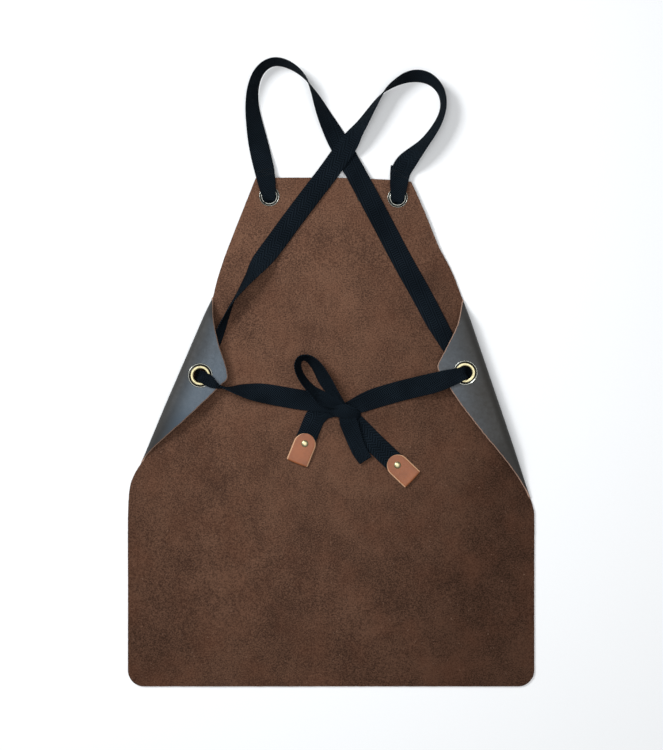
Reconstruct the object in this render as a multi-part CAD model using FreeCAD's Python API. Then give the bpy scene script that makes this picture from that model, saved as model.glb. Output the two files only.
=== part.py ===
"""A leather cross-back apron, laid on its front with the waist tied, as separate pieces.

Millimetres, +Z up.  The apron lies on its smooth grain side, so the suede back looks up.
X runs across the apron and +Y towards the bib.  The origin is under the middle of the hide.
The hide's two side corners are folded in over the back.  One webbing strap starts at each
chest eyelet, makes a shoulder loop, crosses the other, runs under the opposite corner, comes
up through its waist eyelet and is tied in a bow over the small of the back.
"""

import FreeCAD, Part
import math
import os

from FreeCAD import Vector

# Hide
LEATHER = 2.0
HALF_WIDTH = 300.0
HALF_HEIGHT = 375.0
HEM_RADIUS = 24.0
SIDE_TOP_Y = -129.0
BIB_LEFT_X = -111.0
BIB_RIGHT_X = 118.0
BIB_RIGHT_DROP = 4.5
BIB_CORNER = 5.0
BIB_LIFT = 4.0
RAMP_FOOT_Y = 239.0
RAMP_TOP_Y = 304.0

# Folded corners
FOLD_RADIUS = 13.0
FLAP_SLOPE = 10.0
FLAP_REACH = 90.0
SPLIT_GAP = 0.3
LEFT_FOLD = ((-174.0, 201.0), (-281.0, -46.5))
RIGHT_FOLD = ((193.6, 198.0), (295.0, -100.0))

# Webbing
WEB_THICK = 1.5
CLEAR = 0.3
LOOP_HINGE_Y = 381.0

# Eyelets
HOLE_RADIUS = 10.0
BARREL_WALL = 0.6
CHEST_WASHER_RADIUS = 14.8
CHEST_LIP_RADIUS = 12.2
WAIST_FLANGE_RADIUS = 18.0
WAIST_WASHER_RADIUS = 16.0
SHEET_METAL = 0.8
FLANGE_HEIGHT = 1.5
LEFT_CHEST = (-91.0, 348.0)
RIGHT_CHEST = (98.0, 346.0)
LEFT_WAIST = (-191.0, 84.0)
RIGHT_WAIST = (196.0, 88.0)

# Front patch and its two rivets
PATCH_CENTRE = (3.5, 345.0)
PATCH_SIZE = (100.0, 36.0)
PATCH_CORNER = 4.0
PATCH_RIVET_SPACING = 80.0
RIVET_RADIUS = 5.2
RIVET_DOME = 2.0
RIVET_SHANK = 1.5
RIVET_HEAD = 1.0

# Leather strap tips
TIP_WIDTH = 33.0
TIP_LENGTH = 47.0
TIP_LEATHER = 1.6
TIP_RIVET_INSET = 15.0
TIP_FOOT = 3.0

# Bow
LOW_LAYER_Z = LEATHER + CLEAR + WEB_THICK / 2
WRAP_HEIGHT = 10.0
WRAP_ROUNDING = 3.0

UP = Vector(0, 0, 1)


def panel_top(y):
    """Height of the suede surface at y."""
    share = (y - RAMP_FOOT_Y) / (RAMP_TOP_Y - RAMP_FOOT_Y)
    return LEATHER + BIB_LIFT * min(1.0, max(0.0, share))


def save(name, shape):
    """Writes one node, after checking that it is sound."""
    solids = shape.Solids
    if not solids or not shape.isValid():
        raise ValueError(name + " is not a sound solid")
    os.makedirs("parts", exist_ok=True)
    shape.exportStep("parts/" + name + ".step")
    print(f"{name:24s} solids {len(solids)}  volume {shape.Volume:10.1f}")


def prism(edges, low, high):
    """A closed plan outline made into an upright solid."""
    wire = Part.Wire(Part.__sortEdges__(edges))
    face = Part.Face(wire)
    face.translate(Vector(0, 0, low))
    return face.extrude(Vector(0, 0, high - low))


def polygon(corners, z):
    """A flat face with straight plan edges, at height z."""
    closed = [Vector(x, y, z) for x, y in corners + corners[:1]]
    return Part.Face(Part.makePolygon(closed))


def line(a, b):
    """A straight plan edge."""
    return Part.makeLine(Vector(a[0], a[1], 0), Vector(b[0], b[1], 0))


def curve(points):
    """A smooth plan edge through points."""
    spline = Part.BSplineCurve()
    spline.interpolate([Vector(x, y, 0) for x, y in points])
    return spline.toShape()


def arc(a, middle, b):
    """A round plan edge through three points."""
    ends = [Vector(x, y, 0) for x, y in (a, middle, b)]
    return Part.Arc(*ends).toShape()


def corner_arc(centre, radius, start_deg, end_deg):
    """A round corner about centre, from one compass angle to another."""
    angles = [start_deg, (start_deg + end_deg) / 2, end_deg]
    turned = [math.radians(a) for a in angles]
    points = [(centre[0] + radius * math.cos(a), centre[1] + radius * math.sin(a)) for a in turned]
    return arc(*points)


class Fold:
    """One folded corner: u runs in from the fold line, v along it towards the hem."""

    def __init__(self, ends, side):
        """The side is -1 for the left corner and 1 for the right one."""
        self.start = Vector(ends[0][0], ends[0][1], 0)
        self.end = Vector(ends[1][0], ends[1][1], 0)
        self.length = (self.end - self.start).Length
        self.along = (self.end - self.start).normalize()
        self.inward = Vector(side * self.along.y, -side * self.along.x, 0)

    def u(self, x, y):
        """How far in from the fold line a point lies."""
        return (Vector(x, y, 0) - self.start).dot(self.inward)

    def point(self, u, z, v=0.0):
        """A point in space from fold distances."""
        return self.start + self.inward * u + self.along * v + UP * z

    def flap_top(self, x, y):
        """Height of the flap's upper face over a plan point."""
        slope = math.radians(FLAP_SLOPE)
        begin_u = FOLD_RADIUS * (1 + math.sin(slope))
        begin_z = FOLD_RADIUS * (1 + math.cos(slope))
        return begin_z - (self.u(x, y) - begin_u) * math.tan(slope)

    def flap_normal(self):
        """The outward direction of the flap's upper face."""
        slope = math.radians(FLAP_SLOPE)
        return self.inward * math.sin(slope) + UP * math.cos(slope)

    def extruded(self, edges):
        """A cross-section in u and z made into a solid along the fold."""
        face = Part.Face(Part.Wire(Part.__sortEdges__(edges)))
        return face.extrude(self.along * self.length)


LEFT = Fold(LEFT_FOLD, -1)
RIGHT = Fold(RIGHT_FOLD, 1)


def bend_point(fold, radius, degrees):
    """A point on the fold's round cross-section; 180 is outermost and 90 is the top."""
    turned = math.radians(degrees)
    return fold.point(FOLD_RADIUS + radius * math.cos(turned), FOLD_RADIUS + radius * math.sin(turned))


def bend_arc(fold, radius, start_deg, end_deg):
    """An arc of the fold's cross-section."""
    middle = (start_deg + end_deg) / 2
    points = [bend_point(fold, radius, a) for a in (start_deg, middle, end_deg)]
    return Part.Arc(*points).toShape()


def lower_bend(fold):
    """The quarter of the fold that curls up from the panel."""
    inner = FOLD_RADIUS - LEATHER
    edges = [
        bend_arc(fold, FOLD_RADIUS, 180, 270),
        Part.makeLine(bend_point(fold, FOLD_RADIUS, 270), bend_point(fold, inner, 270)),
        bend_arc(fold, inner, 270, 180),
        Part.makeLine(bend_point(fold, inner, 180), bend_point(fold, FOLD_RADIUS, 180)),
    ]
    return fold.extruded(edges)


def upper_bend_and_plate(fold):
    """The quarter that curls over, and the sloping plate beyond it, before trimming."""
    inner = FOLD_RADIUS - LEATHER
    begin_deg = 180 - math.degrees(math.asin(SPLIT_GAP / FOLD_RADIUS))
    end_deg = 90 - FLAP_SLOPE
    slope = math.radians(FLAP_SLOPE)
    run = (fold.inward * math.cos(slope) - UP * math.sin(slope)) * FLAP_REACH
    outer_end = bend_point(fold, FOLD_RADIUS, end_deg)
    inner_end = bend_point(fold, inner, end_deg)
    edges = [
        bend_arc(fold, FOLD_RADIUS, begin_deg, end_deg),
        Part.makeLine(outer_end, outer_end + run),
        Part.makeLine(outer_end + run, inner_end + run),
        Part.makeLine(inner_end + run, inner_end),
        bend_arc(fold, inner, end_deg, begin_deg),
        Part.makeLine(bend_point(fold, inner, begin_deg), bend_point(fold, FOLD_RADIUS, begin_deg)),
    ]
    return fold.extruded(edges)


def panel_outline():
    """Plan outline of the hide as it lies, with its corners folded in."""
    hem = -HALF_HEIGHT
    inner_x = HALF_WIDTH - HEM_RADIUS
    inner_y = hem + HEM_RADIUS
    bib_right_y = HALF_HEIGHT - BIB_RIGHT_DROP
    left_neck = (BIB_LEFT_X, HALF_HEIGHT)
    right_neck = (BIB_RIGHT_X - BIB_CORNER, bib_right_y)
    right_turn = (BIB_RIGHT_X + 2.0, bib_right_y - BIB_CORNER)
    return [
        line((-inner_x, hem), (inner_x, hem)),
        corner_arc((inner_x, inner_y), HEM_RADIUS, 270, 360),
        line((HALF_WIDTH, inner_y), (HALF_WIDTH, SIDE_TOP_Y)),
        curve([(HALF_WIDTH, SIDE_TOP_Y), (298.5, -112.0), RIGHT_FOLD[1]]),
        line(RIGHT_FOLD[1], RIGHT_FOLD[0]),
        curve([RIGHT_FOLD[0], (178.0, 238.0), (158.0, 276.0), (140.0, 320.0), right_turn]),
        arc(right_turn, (BIB_RIGHT_X - 0.6, bib_right_y - 1.4), right_neck),
        line(right_neck, left_neck),
        curve([left_neck, (-133.0, 320.0), (-155.5, 263.0), (-167.0, 229.0), LEFT_FOLD[0]]),
        line(LEFT_FOLD[0], LEFT_FOLD[1]),
        curve([LEFT_FOLD[1], (-291.0, -63.0), (-297.5, -84.0), (-HALF_WIDTH, SIDE_TOP_Y)]),
        line((-HALF_WIDTH, SIDE_TOP_Y), (-HALF_WIDTH, inner_y)),
        corner_arc((-inner_x, inner_y), HEM_RADIUS, 180, 270),
    ]


def cylinder(x, y, low, high, radius):
    """An upright round bar."""
    return Part.makeCylinder(radius, high - low, Vector(x, y, low))


def patch_rivet_places():
    """Plan centres of the two rivets that hold the front patch."""
    half = PATCH_RIVET_SPACING / 2
    return [(PATCH_CENTRE[0] + side * half, PATCH_CENTRE[1]) for side in (-1, 1)]


def body_panel():
    """The hide, less its folded corners: flat, with the bib lifted by what lies under it."""
    depth = HALF_WIDTH * 2 + 20
    floor = [
        (-HALF_HEIGHT - 5, 0.0),
        (RAMP_FOOT_Y, 0.0),
        (RAMP_TOP_Y, BIB_LIFT),
        (HALF_HEIGHT + 5, BIB_LIFT),
    ]
    ceiling = [(y, z + LEATHER) for y, z in reversed(floor)]
    corners = [Vector(-depth / 2, y, z) for y, z in floor + ceiling]
    side = Part.Face(Part.makePolygon(corners + corners[:1]))
    sheet = side.extrude(Vector(depth, 0, 0))
    panel = sheet.common(prism(panel_outline(), -1, BIB_LIFT + LEATHER + 1))
    for fold in (LEFT, RIGHT):
        ends = [(-20, 0), (FOLD_RADIUS, 0), (FOLD_RADIUS, fold.length), (-20, fold.length)]
        corners = [fold.point(u, 0, v) for u, v in ends]
        strip = polygon([(c.x, c.y) for c in corners], -1)
        panel = panel.cut(strip.extrude(UP * (LEATHER + 2)))
        panel = panel.fuse(lower_bend(fold))
    for x, y in (LEFT_CHEST, RIGHT_CHEST):
        panel = panel.cut(cylinder(x, y, 0, 20, HOLE_RADIUS + BARREL_WALL))
    for x, y in patch_rivet_places():
        panel = panel.cut(cylinder(x, y, 0, 20, RIVET_SHANK))
    return panel


def flap_outline(fold, lower_edge, corner, upper_edge):
    """Plan outline of a folded corner, from the fold line in to its cut edge."""
    start = (fold.start.x, fold.start.y)
    end = (fold.end.x, fold.end.y)
    out = fold.inward * -30
    far_start = (start[0] + out.x, start[1] + out.y)
    far_end = (end[0] + out.x, end[1] + out.y)
    return [
        line(far_start, far_end),
        line(far_end, end),
        curve([end] + lower_edge + [corner[0]]),
        arc(*corner),
        curve([corner[2]] + upper_edge + [start]),
        line(start, far_start),
    ]


def waist_hole(fold, place, radius, depth=40.0):
    """A round bar square to the flap through its eyelet."""
    normal = fold.flap_normal()
    centre = Vector(place[0], place[1], fold.flap_top(*place))
    return Part.makeCylinder(radius, depth, centre - normal * (depth / 2), normal)


def left_flap():
    """The left corner of the hide, turned over on to the back."""
    outline = flap_outline(
        LEFT,
        [(-260.0, -22.0), (-212.5, 20.0), (-188.0, 43.0)],
        ((-159.0, 71.0), (-151.8, 78.5), (-152.0, 90.0)),
        [(-156.5, 107.0), (-164.0, 130.0), (-171.0, 165.0)],
    )
    flap = upper_bend_and_plate(LEFT).common(prism(outline, -1, 60))
    return flap.cut(waist_hole(LEFT, LEFT_WAIST, HOLE_RADIUS + BARREL_WALL))


def right_flap():
    """The right corner of the hide, turned over on to the back."""
    outline = flap_outline(
        RIGHT,
        [(272.0, -63.0), (220.5, 1.0), (187.0, 45.0)],
        ((160.0, 86.0), (156.0, 93.0), (156.3, 101.0)),
        [(164.5, 117.0), (178.0, 144.0), (186.0, 165.0)],
    )
    flap = upper_bend_and_plate(RIGHT).common(prism(outline, -1, 60))
    return flap.cut(waist_hole(RIGHT, RIGHT_WAIST, HOLE_RADIUS + BARREL_WALL))


def lathe(profile):
    """A turned solid about Z from (radius, height) corners."""
    corners = [Vector(r, 0, z) for r, z in profile]
    face = Part.Face(Part.makePolygon(corners + corners[:1]))
    return face.revolve(Vector(0, 0, 0), UP, 360)


def eyelet(flange_radius, lip_radius):
    """Flange below, barrel through the leather, lip rolled over the washer above.

    The leather lies between heights 0 and LEATHER.
    """
    barrel = HOLE_RADIUS + BARREL_WALL
    washer_top = LEATHER + SHEET_METAL
    lip_top = washer_top + SHEET_METAL
    groove = flange_radius - 2.0
    return lathe([
        (HOLE_RADIUS, -FLANGE_HEIGHT + 0.5),
        (HOLE_RADIUS + 1.5, -FLANGE_HEIGHT),
        (groove - 1.0, -FLANGE_HEIGHT + 0.2),
        (groove, -SHEET_METAL * 0.6),
        (flange_radius, -SHEET_METAL * 0.6),
        (flange_radius, 0.0),
        (barrel, 0.0),
        (barrel, washer_top),
        (lip_radius, washer_top),
        (lip_radius, lip_top - 0.3),
        (lip_radius - 0.6, lip_top),
        (HOLE_RADIUS + 0.3, lip_top),
        (HOLE_RADIUS, lip_top - 0.4),
    ])


def washer(radius):
    """The ring that the barrel is rolled over, on the leather's far face."""
    barrel = HOLE_RADIUS + BARREL_WALL
    return lathe([
        (barrel, LEATHER),
        (radius, LEATHER),
        (radius, LEATHER + SHEET_METAL * 0.6),
        (radius - 0.5, LEATHER + SHEET_METAL),
        (barrel, LEATHER + SHEET_METAL),
    ])


def on_bib(shape, place):
    """Puts an eyelet piece in the bib with its washer side up."""
    moved = shape.copy()
    moved.translate(Vector(place[0], place[1], BIB_LIFT))
    return moved


def on_flap(shape, fold, place):
    """Puts an eyelet piece in a flap with its flange up, because the flap is turned over."""
    moved = shape.copy()
    moved.rotate(Vector(0, 0, 0), Vector(1, 0, 0), 180)
    turn = FreeCAD.Rotation(UP, fold.flap_normal())
    moved.Placement = FreeCAD.Placement(Vector(0, 0, 0), turn).multiply(moved.Placement)
    moved.translate(Vector(place[0], place[1], fold.flap_top(*place)))
    return moved


def ribbon(stations):
    """Flat webbing as one closed solid through stations of (centre, across, width)."""
    rings = []
    last = len(stations) - 1
    for i, (centre, across, width) in enumerate(stations):
        ahead = stations[min(i + 1, last)][0]
        behind = stations[max(i - 1, 0)][0]
        tangent = (ahead - behind).normalize()
        flat = (across - tangent * across.dot(tangent)).normalize()
        normal = tangent.cross(flat)
        side = flat * (width / 2)
        lift = normal * (WEB_THICK / 2)
        rings.append([centre - side - lift, centre + side - lift, centre + side + lift, centre - side + lift])
    faces = [triangle(rings[0][0], rings[0][2], rings[0][1]), triangle(rings[0][0], rings[0][3], rings[0][2])]
    for near, far in zip(rings, rings[1:]):
        for k in (0, 1, 3):
            after = (k + 1) % 4
            faces.append(triangle(near[k], near[after], far[after]))
            faces.append(triangle(near[k], far[after], far[k]))
        # The upper face is split the same way as the lower one, so a twist keeps its thickness.
        faces.append(triangle(near[2], near[3], far[2]))
        faces.append(triangle(near[3], far[3], far[2]))
    end = rings[-1]
    faces += [triangle(end[0], end[1], end[2]), triangle(end[0], end[2], end[3])]
    shell = Part.Shell(faces)
    shell.sewShape()
    solid = Part.Solid(shell)
    if solid.Volume < 0:
        solid.reverse()
    return solid


def triangle(a, b, c):
    """One flat facet."""
    return Part.Face(Part.makePolygon([a, b, c, a]))


def rolled(route):
    """Stations of webbing from route points of (x, y, z, roll in degrees, width).

    A z of None lays the webbing's lower edge on the hide.  Roll lifts its left edge.
    """
    last = len(route) - 1
    stations = []
    for i, (x, y, z, roll, width) in enumerate(route):
        ahead = route[min(i + 1, last)]
        behind = route[max(i - 1, 0)]
        heading = Vector(ahead[0] - behind[0], ahead[1] - behind[1], 0).normalize()
        left = Vector(-heading.y, heading.x, 0)
        turn = math.radians(roll)
        across = left * math.cos(turn) + UP * math.sin(turn)
        if z is None:
            edge = abs(math.sin(turn)) * width / 2 + abs(math.cos(turn)) * WEB_THICK / 2
            spread = abs(across.y) * width / 2
            z = max(panel_top(y - spread), panel_top(y + spread)) + CLEAR + edge
        stations.append((Vector(x, y, z), across, width))
    return stations


def in_plane(start, heading_deg, across_sign, profile):
    """Stations of webbing that turns in an upright plane: profile of (distance, z, width)."""
    turn = math.radians(heading_deg)
    heading = Vector(math.cos(turn), math.sin(turn), 0)
    across = Vector(-heading.y, heading.x, 0) * across_sign
    origin = Vector(start[0], start[1], 0)
    return [(origin + heading * s + UP * z, across, width) for s, z, width in profile]


# Routes of the webbing: x, y, z, roll in degrees, width.
LEFT_LOOP = [
    (-96.3, 377.0, 7.2, 0, 28),
    (-101.0, 398.0, 5.5, 4, 30),
    (-106.0, 420.0, 3.9, 11, 30),
    (-111.0, 445.0, 8.8, 32, 30),
    (-115.0, 470.0, 11.7, 47, 30),
    (-116.0, 487.0, 12.9, 55, 30),
    (-115.0, 505.0, 13.8, 62, 30),
    (-109.0, 525.0, 14.5, 69, 30),
    (-98.0, 538.5, 14.9, 75, 30),
    (-83.0, 545.0, 15.1, 79, 30),
    (-66.0, 542.0, 15.1, 80, 30),
    (-50.0, 533.0, 15.2, 84, 30),
    (-38.5, 522.0, 15.4, 90, 30),
    (-32.0, 512.0, 15.4, 96, 30),
    (-24.0, 497.0, 14.8, 110, 30),
    (-17.0, 481.5, 13.2, 124, 30),
    (-9.0, 463.5, 11.0, 138, 30),
    (2.5, 442.5, 6.7, 158, 30),
    (11.0, 427.5, 3.1, 174, 30),
    (18.5, 415.0, 3.2, 180, 30),
    (27.0, 399.0, 4.4, 180, 30),
    (37.2, 380.0, 7.2, 180, 30),
    (41.0, 373.0, 7.3, 180, 30),
]
RIGHT_LOOP = [
    (100.6, 375.0, 7.2, 0, 28),
    (103.0, 386.0, 6.6, 0, 29),
    (109.5, 396.5, 6.2, -10, 30),
    (120.0, 407.5, 9.8, -35, 30),
    (135.5, 423.5, 13.7, -59, 30),
    (152.0, 445.0, 14.2, -66, 30),
    (162.5, 466.0, 14.8, -74, 30),
    (165.5, 483.0, 15.0, -78, 30),
    (162.5, 499.5, 15.0, -78, 30),
    (153.5, 512.5, 14.9, -75, 30),
    (141.0, 521.0, 14.5, -69, 30),
    (126.0, 524.0, 14.2, -66, 30),
    (110.0, 521.5, 14.6, -70, 30),
    (96.0, 514.5, 15.1, -80, 30),
    (83.5, 506.0, 15.4, -88, 30),
    (74.5, 497.0, 15.3, -98, 30),
    (66.0, 485.0, 14.9, -107, 30),
    (56.0, 469.5, 14.3, -115, 30),
    (46.5, 454.5, 13.3, -124, 30),
    (37.0, 441.5, 12.4, -136, 30),
    (29.5, 430.0, 10.2, -154, 30),
    (22.5, 420.0, 8.0, -170, 30),
    (19.0, 415.0, 7.5, -175, 30),
    (8.5, 400.0, 7.8, -180, 30),
    (-5.8, 380.0, 7.3, -180, 30),
    (-13.0, 370.0, 7.3, -180, 30),
]
LEFT_RUN = [
    (33.4, 387.0, 7.2, 0, 30),
    (37.2, 380.0, 7.2, 0, 30),
    (52.8, 351.0, 9.4, 0, 30),
    (59.5, 338.5, 9.4, 0, 30),
    (80.0, 300.0, 7.1, 0, 30),
    (107.0, 249.0, None, 0, 30),
    (133.0, 204.0, None, 0, 30),
    (153.0, 166.0, None, 0, 30),
    (165.0, 145.0, 4.5, 0, 27),
    (176.0, 124.0, 8.0, 0, 23),
    (185.0, 107.0, 13.0, 0, 19),
]
RIGHT_RUN = [
    (1.2, 390.0, 7.4, 0, 30),
    (-5.8, 380.0, 7.3, 0, 30),
    (-28.5, 350.5, 9.4, 0, 30),
    (-37.5, 338.5, 9.4, 0, 30),
    (-63.0, 305.0, 7.2, 0, 30),
    (-84.0, 276.0, None, 0, 30),
    (-98.0, 258.0, None, 12, 30),
    (-108.0, 245.0, None, 30, 30),
    (-117.0, 232.0, None, 50, 28),
    (-129.0, 216.0, None, 65, 26),
    (-140.0, 200.0, None, 80, 24),
    (-149.0, 184.0, None, 95, 22),
    (-157.0, 166.0, None, 110, 20),
    (-165.0, 146.0, 9.5, 130, 18),
    (-174.0, 124.0, 10.5, 150, 18),
    (-182.0, 105.0, 13.5, 165, 18),
]
LEFT_EYELET_WEB = [
    (-176.0, 75.0, 23.2, 0, 17),
    (-168.0, 70.8, 24.0, 40, 13),
    (-161.0, 67.3, 23.4, 80, 12),
    (-150.0, 65.3, 20.5, 105, 16),
    (-141.8, 64.0, 18.2, 122, 19),
]
LEFT_TIE = [
    (-140.8, 63.9, 18.0, 124, 19),
    (-130.0, 62.5, 14.0, 138, 24),
    (-116.0, 60.0, 10.0, 155, 27),
    (-103.0, 58.5, 7.0, 166, 29),
    (-84.0, 55.0, 4.2, 176, 30),
    (-62.0, 51.0, 3.4, 180, 30),
    (-44.0, 48.0, 5.0, 180, 30),
    (-20.0, 44.5, 5.8, 180, 28),
    (-4.0, 41.5, 6.4, 180, 24),
]
RIGHT_EYELET_WEB = [
    (179.0, 82.0, 22.4, 0, 18),
    (168.0, 78.5, 21.0, 0, 22),
    (157.0, 75.0, 19.2, 0, 26),
    (148.4, 72.6, 16.6, 0, 29),
]
RIGHT_TIE = [
    (147.4, 72.3, 16.3, 0, 30),
    (131.0, 68.5, 10.5, 0, 30),
    (113.0, 64.0, 5.5, 0, 30),
    (94.0, 59.0, None, 0, 30),
    (66.0, 51.0, None, 0, 30),
    (49.0, 44.5, None, 0, 28),
]
UPPER_BOW_LOOP = [
    (-9.0, 48.5, 12.6, 22, 22),
    (-16.5, 51.8, 14.4, 42, 26),
    (-26.0, 60.0, 16.6, 62, 28),
    (-38.0, 72.5, 15.8, 67, 28),
    (-47.0, 86.0, 15.9, 69, 28),
    (-50.6, 99.5, 15.9, 70, 28),
    (-46.5, 109.5, 15.9, 72, 28),
    (-37.0, 111.5, 15.9, 71, 28),
    (-27.3, 106.5, 15.2, 62, 28),
    (-17.5, 94.0, 14.2, 54, 28),
    (-9.8, 79.0, 13.4, 46, 28),
    (-0.5, 65.0, 13.8, 48, 26),
    (8.0, 55.5, 13.5, 56, 20),
]
# Lower loop, folded at its bend: x, y, heading in degrees, height of each ply, width.
LOWER_BOW_LOOP = [
    (28.0, 9.0, 289, 9.4, 5.0, 25),
    (34.8, -11.5, 290, 8.8, 5.0, 23),
    (42.0, -28.5, 297, 8.4, 5.6, 22),
    (49.6, -38.9, 302, 8.1, 6.1, 21),
]
LOWER_BOW_BEND = (51.2, -41.2, 302, 7.1, 21)
LEFT_TAIL = [
    (-23.5, 22.5, LOW_LAYER_Z, 0, 30),
    (-28.2, 11.5, 3.5, 0, 30),
    (-32.0, 2.0, 5.4, 0, 30),
    (-38.0, -13.0, 5.4, 0, 30),
    (-48.6, -40.6, 5.4, 0, 30),
]
RIGHT_TAIL = [
    (39.0, 9.5, LOW_LAYER_Z, 0, 30),
    (60.5, -12.5, LOW_LAYER_Z, 0, 30),
    (72.0, -23.6, 4.0, 0, 30),
    (81.5, -32.6, 5.4, 0, 30),
    (92.0, -42.6, 5.4, 0, 30),
    (117.0, -66.5, 5.4, 0, 30),
]

# Plan corners of the knot's wrap, and of the left tail's first stretch beside it.
KNOT_WRAP = [(-0.5, 30.0), (8.0, 44.5), (24.0, 46.5), (44.0, 30.0), (37.5, 18.0), (9.0, 19.5)]
LEFT_TAIL_STUB = [(5.0, 24.0), (-9.5, 16.9), (-36.9, 29.3), (-31.0, 40.0), (-6.0, 43.0), (5.0, 40.0)]

# Ends of the leather tips and their headings, towards the folded end.
LEFT_TIP_END = (-50.6, -46.0)
LEFT_TIP_HEADING = 248.0
RIGHT_TIP_END = (120.8, -70.0)
RIGHT_TIP_HEADING = 316.3


def beyond_hinge(shape, side):
    """The part of some webbing on one side of the line where the shoulder loops lift."""
    size = 1000.0
    edge = LOOP_HINGE_Y + side * SPLIT_GAP / 2
    low = edge if side > 0 else edge - size
    return shape.common(Part.makeBox(size, size, size, Vector(-size / 2, low, -size / 2)))


def strap_anchor(place, loop):
    """Webbing that goes down through a chest eyelet and comes back over the bib's top edge."""
    run = Vector(loop[0][0] - place[0], loop[0][1] - place[1], 0)
    heading = math.degrees(math.atan2(run.y, run.x))
    reach = run.Length + 8.0
    webbing = ribbon(in_plane(place, heading, 1, [
        (reach, 1.4, 28),
        (reach * 0.45, 1.3, 22),
        (3.0, 1.4, 17),
        (-0.5, 3.4, 16),
        (-0.5, 7.6, 16),
        (3.5, 9.3, 17),
        (reach * 0.45, 8.9, 23),
        (reach, 7.2, 28),
    ]))
    return beyond_hinge(webbing, -1)


def sewn_end(place, loop):
    """The webbing's end under the loop, sewn to it past the bib's top edge."""
    run = Vector(loop[0][0] - place[0], loop[0][1] - place[1], 0)
    heading = math.degrees(math.atan2(run.y, run.x))
    webbing = ribbon(in_plane(loop[0][:2], heading, 1, [(0.0, 1.4, 28), (12.0, 1.7, 28), (19.0, 2.0, 28)]))
    return beyond_hinge(webbing, 1)


def through_eyelet(fold, place, over):
    """Webbing that comes up through a waist eyelet and lies out over the flap."""
    first = over[0]
    run = Vector(first[0] - place[0], first[1] - place[1], 0)
    heading = math.degrees(math.atan2(run.y, run.x))
    top = fold.flap_top(*place)
    rise = in_plane(place, heading, 1, [
        (-7.0, top - 9.5, 15),
        (-2.0, top - 5.0, 15),
        (-1.0, top, 15),
        (0.5, top + 2.6, 16),
        (5.0, top + 3.6, 16),
    ])
    return ribbon(rise + rolled(over))


def strap_tip(end, heading_deg):
    """A leather strip folded over the strap's end, round where it meets the strap."""
    half = TIP_WIDTH / 2
    straight = TIP_LENGTH - half
    low = TIP_FOOT
    slot_low = low + TIP_LEATHER
    slot_high = slot_low + WEB_THICK + 0.1
    high = slot_high + TIP_LEATHER
    fold_radius = (high - low) / 2
    middle = (high + low) / 2
    outline = [
        line((0, -half), (0, half)),
        line((0, half), (-straight, half)),
        arc((-straight, half), (-TIP_LENGTH, 0), (-straight, -half)),
        line((-straight, -half), (0, -half)),
    ]
    slab = prism(outline, low, high)
    nose = Part.makeCylinder(fold_radius, TIP_WIDTH, Vector(-fold_radius, -half, middle), Vector(0, 1, 0))
    block = Part.makeBox(TIP_LENGTH, TIP_WIDTH, high - low, Vector(-TIP_LENGTH - fold_radius, -half, low))
    tip = slab.common(block.fuse(nose))
    slot_length = TIP_LENGTH + 5
    slot = Part.makeBox(slot_length, TIP_WIDTH + 2, slot_high - slot_low,
                        Vector(-fold_radius - slot_length, -half - 1, slot_low))
    tip = tip.cut(slot)
    tip = tip.cut(cylinder(TIP_RIVET_INSET - TIP_LENGTH, 0, 0, 20, RIVET_SHANK))
    return turned_to(tip, end, heading_deg)


def turned_to(shape, end, heading_deg):
    """Turns a piece drawn with its end at the origin, along +X, to its place."""
    moved = shape.copy()
    moved.rotate(Vector(0, 0, 0), UP, heading_deg)
    moved.translate(Vector(end[0], end[1], 0))
    return moved


def rivet_place(end, heading_deg):
    """Plan centre of a tip's rivet."""
    turn = math.radians(heading_deg)
    back = TIP_LENGTH - TIP_RIVET_INSET
    return (end[0] - back * math.cos(turn), end[1] - back * math.sin(turn))


def rivet_cap(place, seat):
    """A domed rivet cap on a surface at height seat."""
    rise = RIVET_DOME
    profile = [(0, 0), (RIVET_RADIUS, 0), (RIVET_RADIUS, 0.3 * rise)]
    steps = 5
    for i in range(1, steps):
        angle = math.pi / 2 * i / steps
        profile.append((RIVET_RADIUS * math.cos(angle), rise * (0.3 + 0.7 * math.sin(angle))))
    profile.append((0, rise))
    cap = lathe(profile)
    cap.translate(Vector(place[0], place[1], seat))
    return cap


def rivet_post(place, low, high):
    """A rivet's flat head under the stack, and its shank up to the cap."""
    head = cylinder(place[0], place[1], low - RIVET_HEAD, low, RIVET_RADIUS - 0.4)
    return head.fuse(cylinder(place[0], place[1], low, high, RIVET_SHANK - 0.02))


def front_patch():
    """A plain leather patch on the front of the bib."""
    width, height = PATCH_SIZE
    corner = Vector(PATCH_CENTRE[0] - width / 2, PATCH_CENTRE[1] - height / 2, BIB_LIFT - LEATHER)
    patch = Part.makeBox(width, height, LEATHER, corner)
    upright = [e for e in patch.Edges if abs(e.Vertexes[0].Z - e.Vertexes[1].Z) > 1]
    patch = patch.makeFillet(PATCH_CORNER, upright)
    for x, y in patch_rivet_places():
        patch = patch.cut(cylinder(x, y, 0, 10, RIVET_SHANK))
    return patch


def bow_knot():
    """The knot's wrap, with the left tail's first stretch under the left tie."""
    low = LEATHER + CLEAR
    wrap = polygon(KNOT_WRAP, low).extrude(UP * WRAP_HEIGHT)
    top_face = max(wrap.Faces, key=lambda f: f.CenterOfMass.z)
    wrap = wrap.makeFillet(WRAP_ROUNDING, top_face.Edges)
    return wrap.fuse(polygon(LEFT_TAIL_STUB, low).extrude(UP * WEB_THICK))


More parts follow.
